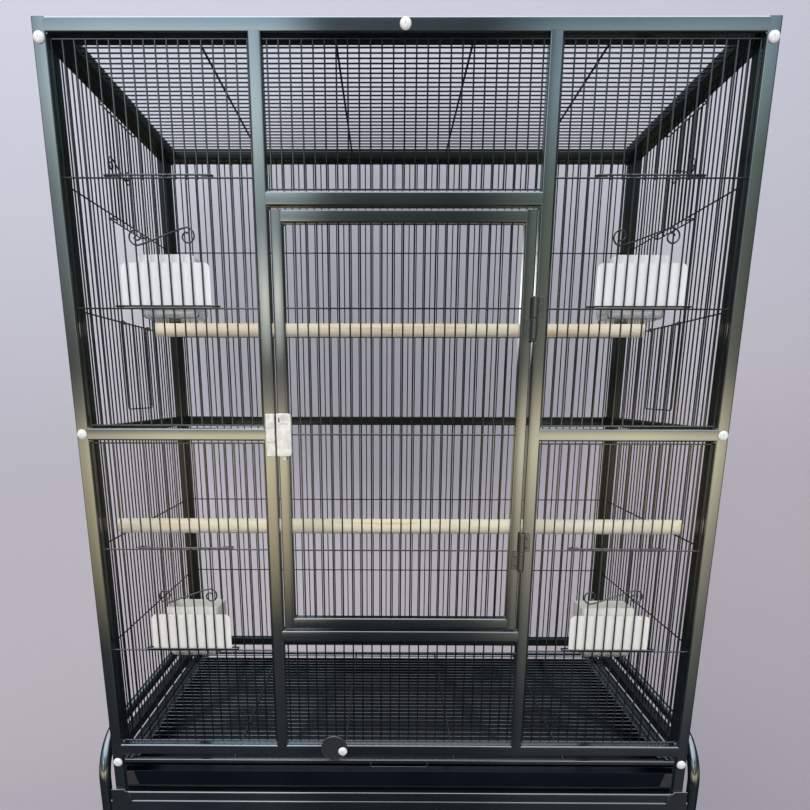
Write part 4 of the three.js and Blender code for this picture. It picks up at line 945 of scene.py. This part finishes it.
def perch(name, wire, below):
    """A dowel between the side wires, with a slot over a wire in each end."""
    y, z = CAGE_DEPTH / 2 + SIDE_PLACES[wire], CAGE_TOP - below
    end, radius = PERCH_HALF, PERCH_RADIUS
    rounding = [(radius - 1.2, 0), (radius - 0.3, 0.5), (radius, 1.5)]
    profile = [(0, -end), *[(r, -end + step) for r, step in rounding]]
    profile += [(radius, -end + 2 * end * n / 24) for n in range(1, 24)]
    profile += [*[(r, end - step) for r, step in reversed(rounding)], (0, end)]
    shape = Shape().lathe(profile, (0, y, z), (1, 0, 0), 40)
    made = piece(f"{name}_dowel", shape, WOOD, "cage", [name])
    slots = Shape()
    for side in (-1, 1):
        ends = sorted((side * (POST_X - 1.2), side * (end + 2)))
        slots.add(*box_faces(*ends, y - PERCH_SLOT, y + PERCH_SLOT, z - radius - 2, z + radius + 2))
    tool = bpy.data.objects.new(f"{name}_slots", to_mesh(f"{name}_slots", slots))
    bpy.context.scene.collection.objects.link(tool)
    cut = made.modifiers.new("slots", "BOOLEAN")
    cut.operation, cut.object, cut.solver = "DIFFERENCE", tool, "EXACT"
    bpy.context.view_layer.update()
    evaluated = made.evaluated_get(bpy.context.evaluated_depsgraph_get())
    mesh = bpy.data.meshes.new_from_object(evaluated)
    made.modifiers.clear()
    made.data = mesh
    bpy.data.objects.remove(tool)


def box_faces(x0, x1, y0, y1, z0, z1):
    verts = [(x, y, z) for x in (x0, x1) for y in (y0, y1) for z in (z0, z1)]
    return verts, [(0, 1, 3, 2), (4, 6, 7, 5), (0, 4, 5, 1), (2, 3, 7, 6), (0, 2, 6, 4), (1, 5, 7, 3)]


for side, word in SIDES:
    nest_bail(side, word)
perch("perch_upper", 21, 295.5)
perch("perch_lower", 4, 579)

# ---------------------------------------------------------------- grate, tray, base and lock disc


GRATE_BAR, HANDLE_REACH, HANDLE_OUT, HANDLE_RADIUS = 5, 40, 9, 0.886
TRAY_WALL, TRAY_HEM = 1.2, 2.4
CORNER_HALF, CORNER_RISE, CORNER_TALL, CORNER_CUT = 13.5, 4.5, 23, 9
BASE_WALL, LEDGE = 1.5, 13
DISC_X, DISC_Z, DISC_OFF, DISC_RADIUS = -79.3, BOTTOM_RAIL + TUBE / 2, 12.7, 18.5
DISC_TURN = math.radians(110)


def grate():
    half, front, back, bar = FLOOR_HALF, SEAT, FLOOR_BACK, GRATE_BAR
    low = GRATE_BOTTOM
    shape = level_frame(half, front, back, bar, low, 0.9)
    shape.tube(-half, half, front, front + bar, low, GRATE_TOP, 1.0)
    piece("grate_bars", shape, COAT, "grate", ["grate"])
    piece("grate_net", level_net(half, front, back, bar, low + bar / 2), WIRE_COAT, "grate")
    z, y, reach = low + 4.75, SEAT - HANDLE_OUT, HANDLE_REACH
    path = filleted([(-reach, 0.2, z), (-reach, y, z), (reach, y, z), (reach, 0.2, z)], 3.6)
    piece("grate_pull", Shape().sweep(path, HANDLE_RADIUS, 12), WIRE_COAT, "grate", ["grate_handle"])


def tray():
    """Folded sheet: walls and floor, a hem under the front and a slanted flap at each front corner."""
    half, wall = FLOOR_HALF, TRAY_WALL
    loops = []
    for inset, z, corner in (
        (0.8, TRAY_BOTTOM, 1.2), (0, TRAY_BOTTOM + 0.8, 1.6), (0, TRAY_TOP - 0.4, 1.6), (0.3, TRAY_TOP, 1.6),
        (wall - 0.2, TRAY_TOP, 1.0), (wall, TRAY_TOP - 0.4, 1.0), (wall, TRAY_BOTTOM + wall, 1.0),
    ):
        outline = rounded(-half + inset, half - inset, inset, FLOOR_BACK - inset, corner)
        loops.append([(x, y, z) for x, y in outline])
    shape = Shape().rings(loops)
    shape.tube(-half, half, -SEAT, TRAY_HEM, TRAY_BOTTOM - TRAY_HEM, TRAY_BOTTOM + 0.3, 1.1)
    piece("tray_sheet", shape, TRAY_COAT, "tray", ["tray"])
    flaps = Shape()
    low, high = TRAY_BOTTOM + 1, TRAY_TOP - 1.5
    for side in (-1, 1):
        outline = [(side * (half - u), v) for u, v in ((1, low), (17, low), (11, high), (1, high))]
        flaps.prism(outline, 1, -0.22, 0.3, 0.08)
    piece("tray_flaps", flaps, DARK_STEEL, "tray")


def corner_outline(side):
    """A corner plate that covers the post's foot, with its upper inner corner cut off."""
    outer, inner = POST_X + CORNER_HALF, POST_X - CORNER_HALF
    top = BASE_TOP + CORNER_RISE
    bottom, cut = top - CORNER_TALL, CORNER_CUT
    corners = ((inner, bottom), (outer, bottom), (outer, top), (inner + cut, top), (inner, top - cut))
    return [(side * x, z) for x, z in corners]


def base_frame():
    """Front and back rails, and at each side a web and two ledges for the grate and the tray."""
    rail = INNER_HALF - SEAT
    shape = Shape()
    for front, back in ((-SEAT, TUBE), (CAGE_DEPTH - TUBE, CAGE_DEPTH)):
        shape.tube(-rail, rail, front, back, POST_END, BASE_TOP)
    for side in (-1, 1):
        shape.prism(corner_outline(side), 1, -SEAT - 2, -SEAT, 0.35)
        wall = side * rail
        web = wall - side * BASE_WALL
        front, back = SIDE_FRONT + TUBE + SEAT, SIDE_BACK - TUBE - SEAT
        shape.tube(web, side * HALF_WIDTH, front, back, POST_END, BASE_TOP, 1.5)
        front, back = 2.7, CAGE_DEPTH - TUBE - SEAT
        shape.tube(web, wall, front, CAGE_DEPTH - 1, POST_END + 0.2, BASE_TOP - 0.2, 0.5)
        shape.tube(web, wall, front, back, POST_END + 0.2, BOTTOM_RAIL - SEAT, 0.5, 1)
        for top in (TRAY_BOTTOM - 0.45, GRATE_BOTTOM - 0.45):
            shape.tube(wall - side * LEDGE, wall, front, back, top - BASE_WALL, top, 0.6)
    piece("base_tubes", shape, COAT, "cage", ["base_frame"])


def lock_disc():
    """The disc at rest, turned aside from the grate about its off-centre bolt."""
    x, z = DISC_X - DISC_OFF * math.sin(DISC_TURN), DISC_Z - DISC_OFF * math.cos(DISC_TURN)
    r = DISC_RADIUS
    profile = [(0, 0), (r - 0.4, 0), (r, 0.4), (r, 1.6), (r - 0.4, 2.0)]
    profile += [(r - 1.2, 2.0), (r - 1.5, 1.8), (0, 1.8)]
    shape = Shape().lathe(profile, (x, -SEAT, z), (0, -1, 0), 56)
    piece("lock_disc_plate", shape, DARK_STEEL, "lock_disc", ["lock_disc"])
    shape = Shape()
    bolt_head(shape, DISC_X, DISC_Z, -SEAT - 2.3)
    piece("lock_disc_bolt_head", shape, BOLT, "cage", ["lock_disc_bolt"])


grate()
tray()
base_frame()
lock_disc()

# ---------------------------------------------------------------- stand


HOOP_BEND = 60
BAR_TALL, BAR_CORNER = 25, 2.2
SHELF_LOW, SHELF_HIGH, SHELF_SHEET = 172, 190, 1.5


def hoop(side, word):
    """One bent tube: a leg, a hoop beside the cage and the other leg, with a cap under each leg."""
    x, bend, radius = side * LEG_X, HOOP_BEND, LEG_RADIUS
    front, back = WIRE_Y, CAGE_DEPTH - WIRE_Y
    corner = HOOP_TOP - bend
    path = [(x, front, LEG_BOTTOM), (x, front, corner - 30)]
    for start, middle in ((math.pi, front + bend), (math.pi / 2, back - bend)):
        for n in range(17):
            angle = start - n / 16 * math.pi / 2
            path.append((x, middle + bend * math.cos(angle), corner + bend * math.sin(angle)))
    path += [(x, back, corner - 30), (x, back, LEG_BOTTOM)]
    shape = Shape().sweep(path, radius, 28)
    piece(f"hoop_tube_{word}", shape, COAT, "cage", [f"stand_hoop_{word}"], 50)
    caps = Shape()
    cap = [(5.4, 0), (radius - 0.6, 0), (radius, 0.6), (radius, 5), (radius - 0.1, 5.2), (5.4, 5.2)]
    for y in (front, back):
        caps.lathe(cap, (x, y, LEG_BOTTOM), UP, 28)
    piece(f"hoop_caps_{word}", caps, TYRE, "cage")


def stand():
    reach = LEG_X - LEG_RADIUS - SEAT
    low, high = POST_END - SEAT - BAR_TALL, POST_END - SEAT
    for word, y in (("front", 0), ("rear", CAGE_DEPTH - TUBE)):
        shape = Shape().tube(-reach, reach, y, y + TUBE, low, high, BAR_CORNER)
        piece(f"stand_bar_{word}", shape, COAT, "cage", [f"stand_rail_{word}"])
    low, high, sheet = SHELF_LOW, SHELF_HIGH, SHELF_SHEET
    loops = []
    for inset, z, corner in (
        (0.7, low, 2), (0, low + 0.7, 2.5), (0, high - 0.6, 2.5), (0.4, high, 2.5), (sheet - 0.4, high, 2),
        (sheet, high - 0.6, 2), (sheet, low + sheet + 1.5, 2), (sheet + 1.5, low + sheet, 2),
    ):
        outline = rounded(-reach + inset, reach - inset, inset, CAGE_DEPTH - inset, corner)
        loops.append([(x, y, z) for x, y in outline])
    piece("shelf_sheet", Shape().rings(loops), COAT, "cage", ["stand_shelf"])


CASTORS = {
    "front_left": (-LEG_X, WIRE_Y, 1),
    "front_right": (LEG_X, WIRE_Y, 1),
    "rear_left": (-LEG_X, CAGE_DEPTH - WIRE_Y, -1),
    "rear_right": (LEG_X, CAGE_DEPTH - WIRE_Y, -1),
}
WHEEL_RADIUS, WHEEL_HALF, TRAIL = 25, 9, 20
FORK_SHEET, FORK_HALF, STEM_TOP = 2.5, 8, 87.5
AXLE_RADIUS, NUT_RADIUS = 3.6, 4.6


def castor(name, x, y, trail):
    """A fork with its race, stem and axle, and the wheel behind or before the stem."""
    axle_y = y + trail * TRAIL
    inner = WHEEL_HALF + SEAT
    outer = inner + FORK_SHEET
    crown = 2 * WHEEL_RADIUS + 3
    low, high = min(y, axle_y) - FORK_HALF, max(y, axle_y) + FORK_HALF
    shape = Shape()
    shape.block(x - outer, x + outer, low, high, crown, crown + FORK_SHEET, 1.0)
    r = LEG_RADIUS
    stem = [(r - 0.8, crown + 2), (r, crown + 2.8), (r, crown + 6), (r - 1.2, crown + 7), (r - 1.2, 64.6)]
    stem += [(r - 0.6, 65.4), (5, 65.7), (5, STEM_TOP), (0, STEM_TOP)]
    shape.lathe(stem, (x, y, 0), UP)
    cheek = []
    for n in range(9):
        angle = math.pi + n * math.pi / 8
        cheek.append((axle_y + FORK_HALF * math.cos(angle), WHEEL_RADIUS + FORK_HALF * math.sin(angle)))
    cheek += [(high, crown + 1.2), (low, crown + 1.2)]
    nut = [(0, 0), (NUT_RADIUS, 0), (NUT_RADIUS, -0.8), (0, -0.8)]
    for side in (-1, 1):
        shape.prism(cheek, 0, *sorted((x + side * inner, x + side * outer)), 0.4)
        shape.lathe(nut, (x + side * outer, axle_y, WHEEL_RADIUS), (side, 0, 0), 6)
    axle = [(0, -outer), (AXLE_RADIUS, -outer), (AXLE_RADIUS, outer), (0, outer)]
    shape.lathe(axle, (x, axle_y, WHEEL_RADIUS), (1, 0, 0), 16)
    fork, wheel = f"castor_fork_{name}", f"castor_wheel_{name}"
    piece(f"castor_frame_{name}", shape, DARK_STEEL, fork, [fork])
    half, r = WHEEL_HALF, WHEEL_RADIUS
    profile = [(3.9, 0.8), (7, 0.8), (7.4, 2), (14, 2), (14.6, 0.6), (r - 3.2, 0), (r - 1.2, 0.7)]
    profile += [(r - 0.2, 2.4), (r, 4.4)]
    profile = [(rad, -half + inset) for rad, inset in profile]
    profile += [(rad, -h) for rad, h in reversed(profile)]
    tyre = Shape().lathe([*profile, profile[0]], (x, axle_y, WHEEL_RADIUS), (1, 0, 0), 48)
    piece(f"castor_roller_{name}", tyre, TYRE, wheel, [wheel])


for side, word in SIDES:
    hoop(side, word)
stand()
for name, (x, y, trail) in CASTORS.items():
    castor(name, x, y, trail)

# ---------------------------------------------------------------- stage, light and camera

BACKDROP = (0.445, 0.434, 0.492)
# Painted shadow of the cage on the wall: its colour, middle and reach in metres, and how it fades.
SHADE, SHADE_MIDDLE, SHADE_REACH = (0.62, 0.63, 0.64), (0.05, 1.42), (1.05, 0.85)
SHADE_STOPS = [(0, (0, 0, 0)), (0.4, (0.8, 0.8, 0.8)), (0.8, (1, 1, 1))]
# Painted light: the wall's colour along a slant, lighter to the left and upwards.
BACKDROP_LIGHT_FALLOFF_STOPS = [
    (0.0, (0.50, 0.465, 0.52)), (0.25, (0.60, 0.555, 0.60)),
    (0.6, (0.66, 0.655, 0.725)), (1.0, (0.76, 0.78, 0.88)),
]
LIGHT_SLANT = {"Rotation": (0, math.radians(45), 0), "Scale": (-0.104, 1, 0.438), "Location": (0.138, 0, 0)}


def make_backdrop():
    """Pale wall with painted light: lighter to the left and upwards, and a painted soft shadow behind the
    cage.
    """
    look = Look("backdrop", Roughness=0.95, Specular_IOR_Level=0.1)
    slant = look.node("ShaderNodeMapping", {**LIGHT_SLANT, "Vector": look.place})
    gradient = look.node("ShaderNodeTexGradient", {"Vector": slant.outputs["Vector"]})
    colour = look.ramp(gradient.outputs["Fac"], BACKDROP_LIGHT_FALLOFF_STOPS)
    shade = look.ramp(look.patch(look.place, SHADE_MIDDLE, SHADE_REACH), SHADE_STOPS)
    look.put(look.mix("MULTIPLY", shade, colour, (*SHADE, 1)), look.shader.inputs["Base Color"])
    return look.material


def cove():
    """Floor, curved corner and wall in one sheet."""
    wall_y, radius, wide, front, top = 1.5, 0.9, 7.0, -7.0, 5.0
    line = [(front, 0.0), (0.0, 0.0), (wall_y - radius, 0.0)]
    for n in range(1, 17):
        angle = n / 16 * math.pi / 2
        line.append((wall_y - radius + radius * math.sin(angle), radius - radius * math.cos(angle)))
    line.append((wall_y, top))
    verts = [(x, y, z) for y, z in line for x in (-wide, wide)]
    faces = [(2 * n, 2 * n + 1, 2 * n + 3, 2 * n + 2) for n in range(len(line) - 1)]
    mesh = bpy.data.meshes.new("cove")
    mesh.from_pydata(verts, [], faces)
    mesh.shade_smooth()
    mesh.materials.append(make_backdrop())
    made = bpy.data.objects.new("cove", mesh)
    bpy.context.scene.collection.objects.link(made)
    made.visible_glossy = False


def area_light(name, place, target, size, energy, colour):
    light = bpy.data.lights.new(name, "AREA")
    light.shape, light.size, light.size_y = "RECTANGLE", size[0], size[1]
    light.energy, light.color = energy, colour
    made = bpy.data.objects.new(name, light)
    bpy.context.scene.collection.objects.link(made)
    made.location = place
    made.rotation_mode = "QUATERNION"
    made.rotation_quaternion = (Vector(target) - Vector(place)).to_track_quat("-Z", "Y")
    made.visible_glossy = False


# What the gloss mirrors: to the left and to the right by the height of the direction, a factor by
# its sideways part, each from -1 to 1, then a pale spot and the light overhead
LEFT_STOPS = [
    (-0.56, (0.02, 0.02, 0.03)), (-0.34, (0.04, 0.04, 0.05)), (-0.28, (0.42, 0.36, 0.22)),
    (-0.2, (0.95, 0.8, 0.5)), (-0.07, (1.5, 1.37, 0.95)), (-0.02, (0.5, 0.46, 0.36)),
    (0.03, (0.14, 0.14, 0.13)), (0.12, (0.34, 0.38, 0.37)), (0.24, (0.48, 0.6, 0.62)),
    (0.34, (1.1, 1.35, 1.45)), (0.5, (0.36, 0.62, 0.88)),
]
RIGHT_STOPS = [
    (-0.56, (0.03, 0.03, 0.04)), (-0.44, (0.05, 0.05, 0.06)), (-0.32, (0.27, 0.27, 0.22)),
    (-0.2, (0.75, 0.7, 0.52)), (-0.07, (1.6, 1.47, 1.05)), (0.03, (0.3, 0.3, 0.23)),
    (0.15, (0.22, 0.25, 0.2)), (0.27, (0.24, 0.31, 0.26)), (0.36, (0.5, 0.69, 0.8)),
    (0.5, (0.13, 0.22, 0.28)),
]
ACROSS_STOPS = [
    (-1.0, (0.3, 0.3, 0.3)), (-0.42, (0.6, 0.6, 0.6)), (-0.32, (1, 1, 1)), (-0.13, (1, 1, 1)),
    (-0.08, (0.1, 0.1, 0.1)), (0.12, (0.1, 0.1, 0.1)), (0.2, (0.9, 0.9, 0.9)), (0.36, (1.0, 1.0, 1.0)),
    (0.46, (0.7, 0.7, 0.7)), (0.62, (0.25, 0.25, 0.25)), (1.0, (0.2, 0.2, 0.2)),
]
BACK_STOPS = [(-0.35, (1, 1, 1)), (0.0, (0.12, 0.12, 0.12))]
OVERHEAD_STOPS = [(0.45, (0, 0, 0)), (0.62, (0.8, 0.9, 1.0)), (1.0, (1.1, 1.2, 1.3))]
SPOT, SPOT_MIDDLE, SPOT_REACH = (1.4, 1.45, 1.3), (-0.165, 0.125), (0.09, 0.09)
MIRROR_STRENGTH, FILL_STRENGTH, FILL = 2.4, 0.55, (0.95, 0.97, 1.0)


def world():
    """Plain soft light, a plain background to the camera, and the surroundings that the gloss mirrors."""
    made = bpy.data.worlds.new("studio")
    bpy.context.scene.world = made
    made.use_nodes = True
    made.node_tree.nodes.clear()
    sky = Nodes(made.node_tree)
    direction = sky.node("ShaderNodeTexCoord").outputs["Generated"]
    x, y, z = sky.node("ShaderNodeSeparateXYZ", {"Vector": direction}).outputs

    def ramp(source, stops):
        return sky.ramp(sky.spread(source, -1, 1), [((place + 1) / 2, colour) for place, colour in stops])

    colour = sky.mix("MIX", sky.spread(x, -0.1, 0.15), ramp(z, LEFT_STOPS), ramp(z, RIGHT_STOPS))
    colour = sky.mix("MULTIPLY", 1, colour, ramp(x, ACROSS_STOPS))
    colour = sky.mix("MULTIPLY", 1, colour, ramp(y, BACK_STOPS))
    colour = sky.mix("ADD", sky.patch(direction, SPOT_MIDDLE, SPOT_REACH), colour, (*SPOT, 1))
    colour = sky.mix("ADD", 1, colour, ramp(z, OVERHEAD_STOPS))

    def background(colour, strength):
        return sky.node("ShaderNodeBackground", {"Color": colour, "Strength": strength}).outputs["Background"]

    ray = sky.node("ShaderNodeLightPath").outputs
    final = background((*FILL, 1), FILL_STRENGTH)
    for kind, seen in (
        ("Is Glossy Ray", background(colour, MIRROR_STRENGTH)),
        ("Is Camera Ray", background((*BACKDROP, 1), 1)),
    ):
        final = sky.node("ShaderNodeMixShader", {"Fac": ray[kind], 1: final, 2: seen}).outputs["Shader"]
    sky.node("ShaderNodeOutputWorld", {"Surface": final})


CAMERA_PLACE = (-0.0189, -1.0453, 1.2060)
YAW, PITCH_DOWN, ROLL = math.radians(-0.3026), math.radians(14.3186), math.radians(0.1208)
FRAME, FOCAL, CENTRE_X, CENTRE_Y = 810, 658.67, 382.94, 560.55  # pixels
SENSOR = 36


def camera():
    """The photograph's camera: its place, angles and off-centre frame."""
    level_part = math.cos(PITCH_DOWN)
    ahead = Vector((math.sin(YAW) * level_part, math.cos(YAW) * level_part, -math.sin(PITCH_DOWN)))
    level = Vector((math.cos(YAW), -math.sin(YAW), 0))
    up = level.cross(ahead)
    right = math.cos(ROLL) * level + math.sin(ROLL) * up
    up = -math.sin(ROLL) * level + math.cos(ROLL) * up
    data = bpy.data.cameras.new("camera")
    data.sensor_width = SENSOR
    data.lens = FOCAL / FRAME * SENSOR
    data.shift_x = (FRAME / 2 - CENTRE_X) / FRAME
    data.shift_y = (CENTRE_Y - FRAME / 2) / FRAME
    data.clip_start, data.clip_end = 0.05, 50
    made = bpy.data.objects.new("camera", data)
    bpy.context.scene.collection.objects.link(made)
    turn = Matrix((right, up, -ahead)).transposed().to_4x4()
    made.matrix_world = Matrix.Translation(CAMERA_PLACE) @ turn
    bpy.context.scene.camera = made


cove()
world()
area_light("key", (-1.6, -2.6, 3.2), (0, 0, 1.1), (2.2, 2.2), 70, (1.0, 0.98, 0.95))
area_light("fill", (2.4, -2.0, 1.8), (0, 0, 1.0), (1.8, 2.4), 28, (0.92, 0.96, 1.0))
camera()
bpy.context.scene.view_settings.view_transform = "Standard"
